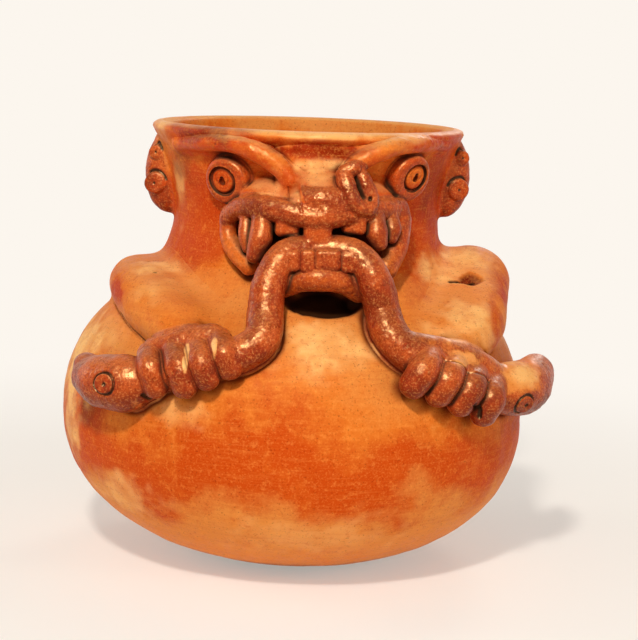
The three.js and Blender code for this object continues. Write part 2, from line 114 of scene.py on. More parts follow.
# The outside of the vessel, looked up by height
HEIGHT_STEP = 0.25
OUTLINE = vessel_outline()
HEIGHTS = np.arange(0, RIM_HEIGHT + 40, HEIGHT_STEP)
RADII = np.interp(HEIGHTS, OUTLINE[:, 1], OUTLINE[:, 0])
STEEPNESS = 1 / np.sqrt(1 + np.gradient(RADII, HEIGHTS) ** 2)


def lean(z):
    """How far the vessel's middle stands off the axis: the belly bulges to the left."""
    return -BELLY_LEAN * np.sin(np.pi * np.clip(z / SEAM_HEIGHT, 0, 1))


def on_vessel(degrees, height, lift=0.0):
    """A place over the vessel's skin, by the angle round from the face."""
    radius = np.interp(height, HEIGHTS, RADII) + lift
    angle = math.radians(degrees)
    return np.array([radius * math.sin(angle) + lean(height), -radius * math.cos(angle), height])


def on_shoulder(degrees, up, lift):
    """A place by the height of the grip and the serpent's middle."""
    return on_vessel(degrees, GRIP_HEIGHT + up, SERPENT_LIFT + lift)


def in_face(sideways, forward, up):
    """A place by the middle of the mouth."""
    return np.array([sideways, -(WAIST_RADIUS + forward), MOUTH_HEIGHT + up])


def each(way, route):
    """The places of a route whose points are given in one of these ways."""
    return [way(*point) for point in route]


# Distances. A shape is a function of x, y and z arrays that is negative inside it, with its box.
def smooth_min(a, b, soft):
    near = np.maximum(soft - np.abs(a - b), 0)
    return np.minimum(a, b) - near * near / (4 * soft)


def smooth_max(a, b, soft):
    return -smooth_min(-a, -b, soft)


def soft_step(value, low, high):
    share = np.clip((value - low) / (high - low), 0, 1)
    return share * share * (3 - 2 * share)


def within(x, y, z, low, high):
    return (x > low[0]) & (x < high[0]) & (y > low[1]) & (y < high[1]) & (z > low[2]) & (z < high[2])


def vessel(x, y, z):
    step = np.clip(z / HEIGHT_STEP, 0, len(HEIGHTS) - 1.01)
    low = step.astype(np.int32)
    part = step - low
    radius = RADII[low] * (1 - part) + RADII[low + 1] * part
    return (np.hypot(x - lean(z), y) - radius) * STEEPNESS[low]


def smooth_path(points, count):
    """A centripetal Catmull-Rom curve through the points."""
    points = [np.array(point, float) for point in points]
    ends = [2 * points[0] - points[1], *points, 2 * points[-1] - points[-2]]
    path = []
    spans = len(points) - 1
    for i in range(count + 1):
        place = min(i / count * spans, spans - 1e-9)
        span = int(place)
        a, b, c, d = ends[span : span + 4]
        first, middle, last = (math.sqrt(np.linalg.norm(q - p)) for p, q in ((a, b), (b, c), (c, d)))
        start = ((b - a) / first - (c - a) / (first + middle) + (c - b) / middle) * middle
        end = ((c - b) / middle - (d - b) / (middle + last) + (d - c) / last) * middle
        t = place - span
        square, cube = 3 * (c - b) - 2 * start - end, 2 * (b - c) + start + end
        path.append(b + start * t + square * t**2 + cube * t**3)
    return np.array(path)


def roll(points, radii, count=16, flatten=1.0):
    """A rolled coil of clay with round ends, less tall than it is deep where it is flattened."""
    path = smooth_path(points, count)
    places = np.linspace(0, len(radii) - 1, count + 1)
    thickness = np.interp(places, np.arange(len(radii)), radii)
    spans = [(path[i], path[i + 1] - path[i], thickness[i], thickness[i + 1]) for i in range(count)]

    def distance(x, y, z):
        best = np.full(x.shape, 1e9, np.float32)
        for start, along, first, last in spans:
            dx, dy, dz = x - start[0], y - start[1], (z - start[2]) * flatten
            t = np.clip((dx * along[0] + dy * along[1] + dz * along[2]) / (along @ along), 0, 1)
            dx -= t * along[0]
            dy -= t * along[1]
            dz -= t * along[2]
            np.minimum(best, np.sqrt(dx * dx + dy * dy + dz * dz) - (first + (last - first) * t), out=best)
        return best

    reach = thickness[:, None]
    return distance, (path - reach).min(0), (path + reach).max(0)


def pat(centre, halves, facing=(0, -1)):
    """An ellipsoid of clay, its second axis turned to face the given way."""
    size = math.hypot(*facing)
    front = (facing[0] / size, facing[1] / size)

    def distance(x, y, z):
        dx, dy, dz = x - centre[0], y - centre[1], z - centre[2]
        across = (-dx * front[1] + dy * front[0]) / halves[0]
        forward = (dx * front[0] + dy * front[1]) / halves[1]
        up = dz / halves[2]
        near = np.sqrt(across**2 + forward**2 + up**2)
        slope = np.sqrt((across / halves[0]) ** 2 + (forward / halves[1]) ** 2 + (up / halves[2]) ** 2)
        return near * (near - 1) / np.maximum(slope, 1e-6)

    wide = abs(front[1]) * halves[0] + abs(front[0]) * halves[1]
    deep = abs(front[0]) * halves[0] + abs(front[1]) * halves[1]
    reach = np.array([wide, deep, halves[2]])
    return distance, centre - reach, centre + reach


def rounded(sides, rounding):
    """Distance to a form with rounded edges, from how far a point is past each of its sides."""
    outer = np.sqrt(sum(np.maximum(side, 0) ** 2 for side in sides))
    return outer + np.minimum(np.maximum.reduce(sides), 0) - rounding


def button(seat, outward, radius, stand, root, rounding):
    """A short disc with a rounded edge, its axis along the outward direction."""
    axis = np.array(outward, float) / np.linalg.norm(outward)
    middle = (stand - root) / 2
    half = (stand + root) / 2

    def distance(x, y, z):
        dx, dy, dz = x - seat[0], y - seat[1], z - seat[2]
        along = dx * axis[0] + dy * axis[1] + dz * axis[2]
        out = np.sqrt(np.maximum(dx * dx + dy * dy + dz * dz - along * along, 0))
        sides = (out - (radius - rounding), np.abs(along - middle) - (half - rounding))
        return rounded(sides, rounding)

    reach = radius + root
    return distance, seat - reach, seat + reach


def block(centre, halves, rounding):
    """A squared-off lump of clay with rounded edges, such as a tooth."""
    core = np.array(halves) - rounding

    def distance(x, y, z):
        sides = [np.abs(at - middle) - half for at, middle, half in zip((x, y, z), centre, core)]
        return rounded(sides, rounding)

    return distance, centre - np.array(halves), centre + np.array(halves)


def band(points, radii, width, count=16):
    """A coil pressed flat: two coils side by side, one above the other."""
    above = [np.array(point) + (0, 0, width / 2) for point in points]
    below = [np.array(point) - (0, 0, width / 2) for point in points]
    return plus(roll(above, radii, count), roll(below, radii, count), soft=2.5)


def less(shape, *tools, soft=0.5):
    """The shape with the tools pressed out of it."""
    body, low, high = shape

    def distance(x, y, z):
        found = body(x, y, z)
        for tool, _, _ in tools:
            found = smooth_max(found, -tool(x, y, z), soft)
        return found

    return distance, low, high


def plus(*shapes, soft=1.0):
    """Shapes pressed together into one."""

    def distance(x, y, z):
        found = shapes[0][0](x, y, z)
        for other, _, _ in shapes[1:]:
            found = smooth_min(found, other(x, y, z), soft)
        return found

    low = np.min([shape[1] for shape in shapes], 0)
    high = np.max([shape[2] for shape in shapes], 0)
    return distance, low, high


# Unevenness of hand-worked clay, the same all over the pot: height, size and seed of each noise
KNEADING = [(0.30, 17.0, 1), (0.2, 7.5, 2), (0.06, 3.1, 3)]
GRAIN = [(0.12, 2.2, 6), (0.1, 1.3, 4), (0.05, 0.9, 5)]
SMOOTH_GRAIN = 0.12  # share of its grain that smoothed clay keeps


def value_noise(points, size, seed):
    """Noise from -1 to 1 that repeats after so many cells."""
    cells = 32
    table = np.random.default_rng(seed).uniform(-1, 1, (cells, cells, cells)).astype(np.float32)
    scaled = points / size + 1000.0
    cell = np.floor(scaled).astype(np.int64)
    part = scaled - cell
    part = part * part * (3 - 2 * part)
    total = 0
    for corner in range(8):
        bits = np.array([corner & 1, corner >> 1 & 1, corner >> 2])
        weight = np.prod(np.where(bits, part, 1 - part), axis=1)
        at = (cell + bits) % cells
        total = total + weight * table[at[:, 0], at[:, 1], at[:, 2]]
    return total


def layered_noise(points, layers):
    return sum(height * value_noise(points, size, seed) for height, size, seed in layers)


def unevenness(points, pebble):
    """How far the clay stands off its ideal surface."""
    grain = layered_noise(points, GRAIN) * (SMOOTH_GRAIN + (1 - SMOOTH_GRAIN) * pebble)
    return layered_noise(points, KNEADING) + grain


# Surface nets
CORNERS = [(i, j, k) for i in (0, 1) for j in (0, 1) for k in (0, 1)]


def surface_net(field, low, step):
    """Vertices and quads of the surface where the field changes sign."""
    inside = field < 0
    shape = tuple(n - 1 for n in field.shape)
    views = {c: tuple(slice(c[a], c[a] + shape[a]) for a in range(3)) for c in CORNERS}
    count = sum(inside[views[c]].astype(np.int8) for c in CORNERS)
    cells = np.argwhere((count > 0) & (count < 8))
    number = np.full(shape, -1, np.int64)
    number[tuple(cells.T)] = np.arange(len(cells))
    value = {c: field[tuple((cells + c).T)] for c in CORNERS}
    total = np.zeros((len(cells), 3))
    hits = np.zeros(len(cells))
    for c in CORNERS:
        for axis in range(3):
            if c[axis]:
                continue
            d = tuple(c[a] + (a == axis) for a in range(3))
            crossed = (value[c] < 0) != (value[d] < 0)
            part = value[c][crossed] / (value[c][crossed] - value[d][crossed])
            place = np.tile(np.array(c, float), (len(part), 1))
            place[:, axis] += part
            total[crossed] += place
            hits[crossed] += 1
    vertices = (cells + total / hits[:, None]) * step + low
    quads = []
    for axis in range(3):
        u, v = (axis + 1) % 3, (axis + 2) % 3
        first = [slice(1, -1)] * 3
        second = [slice(1, -1)] * 3
        first[axis] = slice(0, -1)
        second[axis] = slice(1, None)
        a, b = inside[tuple(first)], inside[tuple(second)]
        edges = np.argwhere(a != b)
        outward = a[tuple(edges.T)]
        base = edges + 1
        base[:, axis] -= 1
        around = []
        for du, dv in ((-1, -1), (0, -1), (0, 0), (-1, 0)):
            cell = base.copy()
            cell[:, u] += du
            cell[:, v] += dv
            around.append(number[tuple(cell.T)])
        around = np.stack(around, 1)
        quads.append(np.where(outward[:, None], around, around[:, ::-1]))
    return vertices, np.concatenate(quads)


class Clay:
    """A piece of applied clay: its shape, and how softly it is smoothed onto the clay under it."""

    def __init__(self, name, shape, fillet, slot, red=0.0, step=FINE):
        self.name, self.slot, self.red, self.step = name, slot, red, step
        self.distance, low, high = shape
        self.low, self.high = np.array(low), np.array(high)
        varies = isinstance(fillet, tuple)
        self.fillet, self.widest_fillet = fillet if varies else (lambda x, y, z: fillet, fillet)


pieces = []


def clay(name, shape, fillet, slot, red=0.0, step=FINE):
    pieces.append(Clay(name, shape, fillet, slot, red, step))


REACH = 10.0  # beyond its box by this, a piece no longer counts


def field(x, y, z, upto=None):
    """Distance to the vessel with the first pieces on it."""
    found = vessel(x, y, z)
    for piece in pieces[:upto]:
        near = within(x, y, z, piece.low - REACH, piece.high + REACH)
        if near.any():
            at = (x[near], y[near], z[near])
            found[near] = smooth_min(found[near], piece.distance(*at), piece.fillet(*at))
    return found


def piece_mesh(index):
    """The piece with its fillet, closed at its back a little way inside the clay under it."""
    piece = pieces[index]
    margin = piece.widest_fillet + 2 * piece.step
    low = piece.low - margin
    counts = np.ceil((piece.high + margin - low) / piece.step).astype(int) + 1
    axes = [low[a] + np.arange(counts[a]) * piece.step for a in range(3)]
    x, y, z = (g.ravel().astype(np.float32) for g in np.meshgrid(*axes, indexing="ij"))
    own = piece.distance(x, y, z)
    under = np.full(x.shape, 9.0, np.float32)
    fillet = piece.fillet(x, y, z)
    close = own < fillet + 1
    under[close] = field(x[close], y[close], z[close], index)
    found = smooth_min(own, under, fillet)
    found = np.maximum(found, -(under + EMBED))
    found = np.maximum(found, own - SKIRT * fillet)
    return surface_net(found.reshape(tuple(counts)), low, piece.step)


FULL_RED = 0.95  # share of slip on a piece that is painted all over

# Serpent
JAW_ROUTES = {
    "left": [(-0.15, 13.5, -3), (-9.6, 15.5, -3.8), (-15.4, 18, -9), (-18.5, 20, -17)],
    "right": [(0.15, 13.5, -3), (9.4, 15.5, -3), (16.6, 18, -7.4), (20.8, 20, -15)],
}
SHOULDER_ROUTES = {
    "left": [
        (-13.7, 17.5, 3), (-13.2, 9.9, 1), (-17.1, 4.6, 0), (-25.6, 0.7, 0), (-33, -3.5, 0), (-38.6, -7, 0),
    ],
    "right": [(19, 20, 3), (19.4, 13.4, 1), (22.3, 6.9, 0), (28.3, 0.8, 0), (36, -4.8, 0), (46.5, -9.8, 0)],
}
BODY_SHARES = np.array([0.76, 0.78, 0.88, 0.97, 1, 1.02, 1.02, 1, 1, 1])
HEAD_ROUTES = {
    "left": [(-39.4, -8.4, -0.5), (-44, -9.6, 1.5), (-49.5, -10.4, 2.5), (-55, -10, 2.5)],
    "right": [(47.4, -10.4, -0.5), (53, -11.4, 1.5), (60, -11.6, 3.2), (66, -8.6, 4.9)],
}
SNOUTS_AND_JAWS = {
    "left": [((-57.4, -5.6, 4), (5.4, 5, 4.2)), ((-45, -15, -0.5), (9.5, 7.5, 6))],
    "right": [((71, -6.6, 4), (5, 5, 4.2)), ((58, -17, 0), (9, 7.5, 6))],
}
HEAD_SHARES = np.array([0.74, 1, 0.98, 0.74])
SERPENT_EYES = {
    "left": {"under": (-46, -10, 1.8), "facing": (-0.5, -0.86, 0.1)},
    "right": {"under": (54.6, -11.8, 1.8), "facing": (0.3, -0.86, -0.42)},
}
SERPENT_EYE_RADIUS = 3.9
serpent_eye_seats = []


def head_red(x, z):
    """Slip on the snout and jaw of the right head, whose top is bare."""
    return FULL_RED * np.maximum(soft_step(z, 85, 73), soft_step(x, 80, 93))


for hand in ("left", "right"):
    points = each(in_face, JAW_ROUTES[hand]) + each(on_shoulder, SHOULDER_ROUTES[hand])
    clay(f"serpent_body_{hand}", roll(points, BODY_SHARES * SERPENT_RADIUS, 40), 1.8, "red_slip", 1.0)
for hand in ("left", "right"):
    eye = SERPENT_EYES[hand]
    outward = np.array(eye["facing"]) / np.linalg.norm(eye["facing"])
    seat = on_shoulder(*eye["under"]) + outward * 0.98 * SERPENT_HEAD_RADIUS
    serpent_eye_seats.append((seat, outward))
    core = roll(each(on_shoulder, HEAD_ROUTES[hand]), HEAD_SHARES * SERPENT_HEAD_RADIUS, 20)
    lumps = [pat(on_shoulder(*place), halves, outward[:2]) for place, halves in SNOUTS_AND_JAWS[hand]]
    red = FULL_RED if hand == "left" else head_red
    clay(f"serpent_head_{hand}", plus(core, *lumps, soft=2.2), 1.6, "red_slip", red)
    disc = button(seat, outward, SERPENT_EYE_RADIUS, 0.5, 2.5, 0.8)
    clay(f"serpent_eye_{hand}", disc, 0.4, "red_slip", FULL_RED)

# Jaws
FRONT = (0, -1)
upper_jaw = pat(on_vessel(0, MOUTH_HEIGHT + 14.5, -3.2), (29, 14.5, 9.5), FRONT)
clay("upper_jaw", upper_jaw, 3.0, "buff_clay", 0, COARSE)
clay("lower_jaw", pat(in_face(0, 7, -12.5), (16, 13, 5), FRONT), 1.2, "buff_clay", 0.3)

# Lips: thickness as a share of LIP_RADIUS, flat width, fillet, share of slip, and route
LIPS = {
    "upper_lip_left": [
        1.0, 2.4, 1.0, FULL_RED, (-32.6, -5, 6.6), (-28.6, 1, 10.2), (-22.2, 7, 11.3),
        (-14.8, 12, 10.4), (-7.4, 15, 9.2), (-1.8, 16, 8.3),
    ],
    "upper_lip_right": [
        1.05, 2.8, 1.0, FULL_RED, (31.4, -3, 11), (25, 4, 11), (16.1, 11, 11.1),
        (7.9, 14.5, 10.2), (2, 16, 9),
    ],
    "lip_corner_left": [
        0.9, 0.6, 2.4, 0.35, (-32.6, -6.5, 3.5), (-32.2, -4.5, -2), (-29.2, -0.5, -7), (-25, 4, -11),
    ],
    "lip_corner_right": [
        1.25, 0.4, 2.4, 0.5, (31.6, -3, 6.5), (30.6, -0.5, 0), (28.2, 3, -6), (25.6, 7, -10.5),
    ],
    "lower_lip": [
        1.1, 1.2, 1.0, 0.55, (-12.3, 13, -17.5), (-6.8, 18, -14.4), (0.2, 20, -13.2),
        (8.6, 18, -14.4), (15.5, 13, -18.5),
    ],
}
for name, (share, width, fillet, red, *route) in LIPS.items():
    thickness = np.array([0.85, 1, 1]) * share * LIP_RADIUS
    clay(name, band(each(in_face, route), thickness, width, 18), fillet, "red_slip", red)

# Fangs: root, middle, tip and thickness as a share of FANG_RADIUS
FANGS = {
    "fang_left_inner": [(-20.4, 7, 8), (-21.4, 10.5, 0), (-23.4, 11, -6.4), 1.12],
    "fang_left_outer": [(-26.2, 2, 7.5), (-26.4, 5, 0.4), (-25.8, 6, -4), 0.78],
    "fang_right_inner": [(20.6, 8, 8), (21.6, 11, 3), (22.6, 11.5, -0.6), 1.1],
    "fang_right_outer": [(27.2, 3, 8), (27.8, 6, 4), (27.6, 7, 1), 0.86],
}
for name, (*route, share) in FANGS.items():
    thickness = np.array([0.95, 1, 0.74]) * share * FANG_RADIUS
    clay(name, roll(each(in_face, route), thickness, 10), 0.6, "red_slip", 0.62)

# Teeth: place, half sizes and rounding
TEETH = {
    "upper_tooth_middle": [(-0.7, 14.5, 3), (5.4, 4.2, 5.8), 3],
    "upper_tooth_left": [(-11.5, 11, 5.2), (4.6, 4.2, 4.2), 2.2],
    "upper_tooth_right": [(12.8, 11, 6.2), (4.6, 4.2, 3.9), 2.2],
    "lower_tooth_1": [(-10, 18.8, -7), (3.1, 3.4, 4), 1.9],
    "lower_tooth_2": [(-4.6, 19.6, -6.8), (2.8, 3.2, 4.2), 1.6],
    "lower_tooth_3": [(2.9, 19.6, -6.2), (4.9, 3.4, 4), 2],
    "lower_tooth_4": [(10.4, 18.8, -7), (3, 3.4, 4), 1.9],
}
for name, (place, halves, rounding) in TEETH.items():
    clay(name, block(in_face(*place), halves, rounding), 0.5, "red_slip", 0.52 if "upper" in name else 0.8)

# Nose and brows
clay("forehead_band", pat(in_face(0, 0.5, 26.4), (17, 8, 6.4), FRONT), 4.0, "buff_clay", 0.0)
nose_tip = pat(in_face(2, 11, 14.8), (12.4, 8.2, 6), FRONT)
nose_bridge = pat(in_face(1, 6, 20.5), (10, 7, 4.5), FRONT)


def nose_red(x, z):
    """Slip on the tip of the nose alone, not on its bridge or the seam to its left."""
    up = z - MOUTH_HEIGHT
    return FULL_RED * soft_step(up, 21.5, 18.5) * soft_step(x + 0.25 * up, -3.4, -1.6)


clay("nose", plus(nose_tip, nose_bridge, soft=3), 1.6, "red_slip", nose_red)
NOSTRILS = {
    "nostril_fold_inner": [
        (12.4, 12.5, 27), (8.8, 12.5, 24.6), (9.8, 15, 19.5), (13, 15.5, 13.2), (17, 13.5, 12),
    ],
    "nostril_fold_outer": [(14, 9.8, 26), (16.7, 12, 20.5), (18.5, 12.2, 15.4), (17.6, 13.4, 12.6)],
}
NOSTRIL_RADII = [2.7, 3.4, 3.6, 3.3]
for name, route in NOSTRILS.items():
    clay(name, roll(each(in_face, route), NOSTRIL_RADII, 14), 0.6, "red_slip", FULL_RED)
BROWS = {
    "brow_left": {
        "round_the_neck": [(-62, -1, -0.5), (-46, 0.6, 0.8), (-33, 1, 1.6), (-24, -0.6, 3)],
        "down_the_nose": [(-16.6, 6.8, 27.4), (-11, 8.6, 21.6)],
    },
    "brow_right": {
        "round_the_neck": [(58, 1.8, -0.5), (42, 2.8, 0.8), (29.5, 2.3, 1.8), (21, 0.2, 3.2)],
        "down_the_nose": [(13.8, 7.2, 28), (9.6, 8.6, 23)],
    },
}
BROW_SHARES = np.array([0.6, 0.85, 0.98, 1.05, 1.02, 0.85])
CRISP, MELTING = 1.0, 3.6  # fillets of a brow over the face and on the neck


def brow_fillet(x, y, z):
    """Melting into the neck and rim at the sides and into the cheek at the left tip, else crisp."""
    side = np.maximum(soft_step(np.abs(x), 24, 38), soft_step(x, 0, 12) * soft_step(z, 163, 169))
    tip = soft_step(x, -20, -13) * soft_step(z, 163, 158) * soft_step(x, 4, 0)
    return CRISP + (MELTING - CRISP) * np.maximum(side, tip)


for name, brow in BROWS.items():
    points = [on_vessel(degrees, BROW_HEIGHT + up, lift) for degrees, up, lift in brow["round_the_neck"]]
    points += each(in_face, brow["down_the_nose"])
    shape = roll(points, BROW_SHARES * BROW_RADIUS, 20, 1.1)
    clay(name, shape, (brow_fillet, MELTING), "buff_clay", 0.25)


def outward_at(degrees, height):
    """The way the vessel's skin faces."""
    up = on_vessel(degrees, height + 2) - on_vessel(degrees, height - 2)
    side = on_vessel(degrees + 1, height) - on_vessel(degrees - 1, height)
    away = np.cross(side, up)
    return away / np.linalg.norm(away)


# Eyes: degrees round and height
EYES = {
    "left": {"ring": (-35.4, EYE_HEIGHT), "ball": (-36.6, EYE_HEIGHT + 0.3)},
    "right": {"ring": (37, EYE_HEIGHT + 2.9), "ball": (38.2, EYE_HEIGHT + 3.6)},
}
for hand, places in EYES.items():
    seat, away = on_vessel(*places["ball"]), outward_at(*places["ball"])
    ball = less(
        button(seat, away, EYE_BALL_RADIUS, EYE_STAND, 3, 2.2),
        button(seat, away, 1.0, 8, -2.6, 0.3),
        soft=0.4,
    )
    clay(f"eye_ball_{hand}", ball, 0.3, "buff_clay", 0.2)
    socket = button(seat, away, EYE_BALL_RADIUS + 0.2, 12, 12, 0.3)
    ring_seat, ring_away = on_vessel(*places["ring"]), outward_at(*places["ring"])
    dome = button(ring_seat, ring_away, EYE_RADIUS * 0.94, EYE_STAND, 3, 2.1)
    clay(f"eye_ring_{hand}", less(dome, socket, soft=0.5), 0.5, "buff_clay", 0.42)

# Ears: place of the flap, and for each disc its place on the flap and its radius
EARS = {
    "left": {"side": -1, "flap": (-88, -1), "upper": (4.6, 7.6, 3.2), "lower": (4.8, -4.6, 4.4)},
    "right": {"side": 1, "flap": (80, 1), "upper": (4.8, 7.2, 3.2), "lower": (3.6, -5.4, 4.4)},
}
EAR_HALVES = (9.9, 5.2, 16.5)
EAR_TURN = 0.25  # outward over forward
ear_disc_seats = []
for hand, ear in EARS.items():
    facing = np.array([ear["side"] * EAR_TURN, -1, 0]) / math.hypot(EAR_TURN, 1)
    middle = on_vessel(ear["flap"][0], EYE_HEIGHT + ear["flap"][1])
    clay(f"ear_{hand}", pat(middle, EAR_HALVES, facing[:2]), 3.0, "buff_clay", 0.55)
    for level in ("upper", "lower"):
        out, up, radius = ear[level]
        sideways = np.array([-facing[1], facing[0], 0]) * ear["side"]
        rise = EAR_HALVES[1] * math.sqrt(1 - (out / EAR_HALVES[0]) ** 2 - (up / EAR_HALVES[2]) ** 2)
        seat = middle + sideways * out + facing * rise + np.array([0, 0, up])
        ear_disc_seats.append((seat, facing, radius))
        disc = button(seat, facing, radius, 1.1, 2, 1.0)
        clay(f"ear_disc_{level}_{hand}", disc, 0.6, "buff_clay", 0.55)

# Hands
HAND_ROUTES = {
    "left": [(-39, 2, 0.5), (-33, 6, 1.5), (-25.5, 8.8, 1.5)],
    "right": [(25.5, 7, 1.5), (33.6, 4.5, 1.5), (42, -0.2, 1.5), (48.5, -6, 0.5)],
}
FINGER_ROUTES = {
    "left": [
        [(-39.3, 1, 3), (-36.2, -2.7, 6.4), (-35, -8.6, 3)],
        [(-33.9, 3.5, 2), (-29.9, -1.1, 5.5), (-28.4, -7.5, 1.5)],
        [(-28.7, 6, 2), (-25.1, 1.6, 5.5), (-23.8, -4.1, 1.5)],
        [(-23.5, 8.2, 2), (-20.5, 4.8, 5.5), (-19.2, 0.1, 1.5)],
    ],
    "right": [
        [(29, 4, 2), (24.7, 0.1, 5.5), (22.9, -5, 1.5)],
        [(34.8, 0.4, 2), (30.4, -3.5, 5.5), (29.2, -8.7, 1.5)],
        [(40.2, -4, 2), (36, -7.7, 5.5), (34.8, -12.8, 1.5)],
        [(45.6, -8.5, 2), (41.6, -12.2, 5.5), (41.4, -17.4, 1.5)],
    ],
}
# Share of slip on the back of the hand and on the fingers, and thickness of the fingers
HAND_FORMS = {"left": (0.9, 1.0, 1), "right": (0.55, 0.72, 1.09)}
for hand, (back_red, finger_red, share) in HAND_FORMS.items():
    back = roll(each(on_shoulder, HAND_ROUTES[hand]), np.array([1, 1, 0.95]) * HAND_RADIUS, 16)
    clay(f"hand_{hand}", back, 1.2, "red_slip", back_red)
    for number, route in enumerate(FINGER_ROUTES[hand], 1):
        finger = roll(each(on_shoulder, route), np.array([1, 1.08, 1]) * FINGER_RADIUS * share, 14)
        clay(f"finger_{hand}_{number}", finger, 0.5, "red_slip", finger_red)

# Arms: the upper edge melts into the shoulder, and the lower edge stands clear of the belly in a crease
CREASE_FILLET, SHOULDER_FILLET = 1.0, 9.0
ARMS = {
    "arm_left": {
        "route": [(-84, 19, -2), (-70, 18.2, -1), (-55, 14.4, -1), (-40, 8.6, -1.5)],
        "shares": [0.93, 0.97, 0.95, 0.93],
        "crease": [
            (-95, 13), (-79.6, 11.4), (-68, 10.6), (-59.7, 9.2), (-52.4, 6.6), (-46.3, 3.9), (-38, 0.5),
        ],
    },
    "arm_right": {
        "route": [(82, 22.5, 3.5), (70, 17, 0), (58, 11, -1), (47, 5.5, -2)],
        "shares": [1.24, 1.16, 1.1, 1.0],
        "crease": [(30, -6), (42, -4), (50, 0), (57, 3), (68, 8), (80, 11), (95, 13)],
    },
}


def arm_fillet(crease):
    degrees = [place[0] for place in crease]
    heights = [GRIP_HEIGHT + place[1] for place in crease]

    def fillet(x, y, z):
        edge = np.interp(np.degrees(np.arctan2(x - lean(z), -y)), degrees, heights)
        melting = np.maximum(soft_step(z, edge + 3, edge + 15), soft_step(y, -16, 4))
        return CREASE_FILLET + (SHOULDER_FILLET - CREASE_FILLET) * melting

    return fillet, SHOULDER_FILLET


for name, arm in ARMS.items():
    points = [on_vessel(degrees, GRIP_HEIGHT + up, lift) for degrees, up, lift in arm["route"]]
    shape = roll(points, np.array(arm["shares"]) * ARM_RADIUS, 28, 1.1)
    clay(name, shape, arm_fillet(arm["crease"]), "buff_clay", 0.0, MEDIUM)


# Meshes
SLIP_FADE = 1.6  # how far the slip runs out round a red piece
# Painted shade: crevices darken the colour by how closed in they are
CREVICE_SHADE_REACHES = [(1.2, 0.4), (3.0, 0.35), (7.0, 0.25)]  # how far out the surface is felt, and its share
made_pieces = []


def add_mesh(name, vertices, faces, slot):
    mesh = bpy.data.meshes.new(name)
    mesh.from_pydata((vertices * MM).tolist(), [], faces)
    mesh.validate()
    mesh.shade_smooth()
    piece = bpy.data.objects.new(name, mesh)
    bpy.context.scene.collection.objects.link(piece)
    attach(piece, "root")
    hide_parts(name)
    piece["finish"] = slot
    made_pieces.append(piece)
    return piece


def columns(points):
    return (points[:, axis].astype(np.float32) for axis in range(3))


def outward_of(vertices):
    """The way the whole pot's surface faces at each vertex."""
    x, y, z = columns(vertices)
    tap = 0.3
    here = field(x, y, z)
    taps = (field(x + tap, y, z), field(x, y + tap, z), field(x, y, z + tap))
    slope = np.stack([there - here for there in taps], 1)
    return slope / np.maximum(np.linalg.norm(slope, axis=1, keepdims=True), 1e-6)


def redness(vertices):
    """Share of red slip at each vertex: whole on the red pieces, fading just round them."""
    x, y, z = columns(vertices)
    red = np.zeros(len(vertices), np.float32)
    for piece in pieces:
        if not piece.red:
            continue
        near = within(x, y, z, piece.low - 3, piece.high + 3)
        if near.any():
            away = piece.distance(x[near], y[near], z[near])
            whole = piece.red(x[near], z[near]) if callable(piece.red) else piece.red
            red[near] = np.maximum(red[near], whole * np.clip(1 - away / SLIP_FADE, 0, 1))
    return red


def crevice_shading(vertices, outward):
    """How far the surface is closed in by its neighbours, near and farther off: the strength of the painted
    shade in its crevices.
    """
    shade = np.zeros(len(vertices), np.float32)
    for reach, share in CREVICE_SHADE_REACHES:
        x, y, z = columns(vertices + outward * reach)
        shade += share * np.clip(1 - field(x, y, z) / reach, 0, 1)
    return shade


def settled(points):
    """The points moved onto the clay's surface."""
    points = np.array(points, float)
    for _ in range(6):
        points = points - outward_of(points) * field(*columns(points))[:, None]
    return points


# Lines and pits pressed into the clay: place, half of their width, depth, and how dark their painted shade
# is
marks = []


def mark(points, width, depth, dark):
    marks.append((settled(points), width, depth, dark))


def circle(seat, outward, radius, start=0, end=360, count=80):
    axis = np.array(outward, float) / np.linalg.norm(outward)
    side = np.cross(axis, (0, 0, 1))
    side /= np.linalg.norm(side)
    top = np.cross(side, axis)
    angles = np.radians(np.linspace(start, end, count))
    return [seat + (side * math.cos(angle) + top * math.sin(angle)) * radius for angle in angles]


for seat, outward in serpent_eye_seats:
    mark(circle(seat, outward, SERPENT_EYE_RADIUS + 0.5), 0.66, 0.9, 1.0)
    mark([seat + (0.5, 0, -0.2)], 1.0, 0.9, 1.0)
for seat, outward, radius in ear_disc_seats:
    mark(circle(seat, outward, radius + 0.7, 20, 160, 20), 0.7, 0.7, 0.9)
    mark([seat], 0.7, 0.5, 0.8)
for places in EYES.values():
    pupil = on_vessel(*places["ball"], EYE_STAND)
    mark([pupil], 0.9, 0.8, 1.0)
    mark(circle(pupil, outward_at(*places["ball"]), 2.7), 0.55, 0.4, 0.3)

# Pits: the nostril, one in the left brow and two in the left shoulder
PITS = [
    (in_face(18, 16, 16), 1.1, 1.4, 1.0),
    (on_vessel(-37, BROW_HEIGHT + 0.5, 5), 0.8, 0.6, 0.5),
    (on_vessel(-58.4, 117.1, 9.9), 1.0, 0.8, 0.8),
    (on_vessel(-70, 121, 9), 0.8, 0.6, 0.7),
]
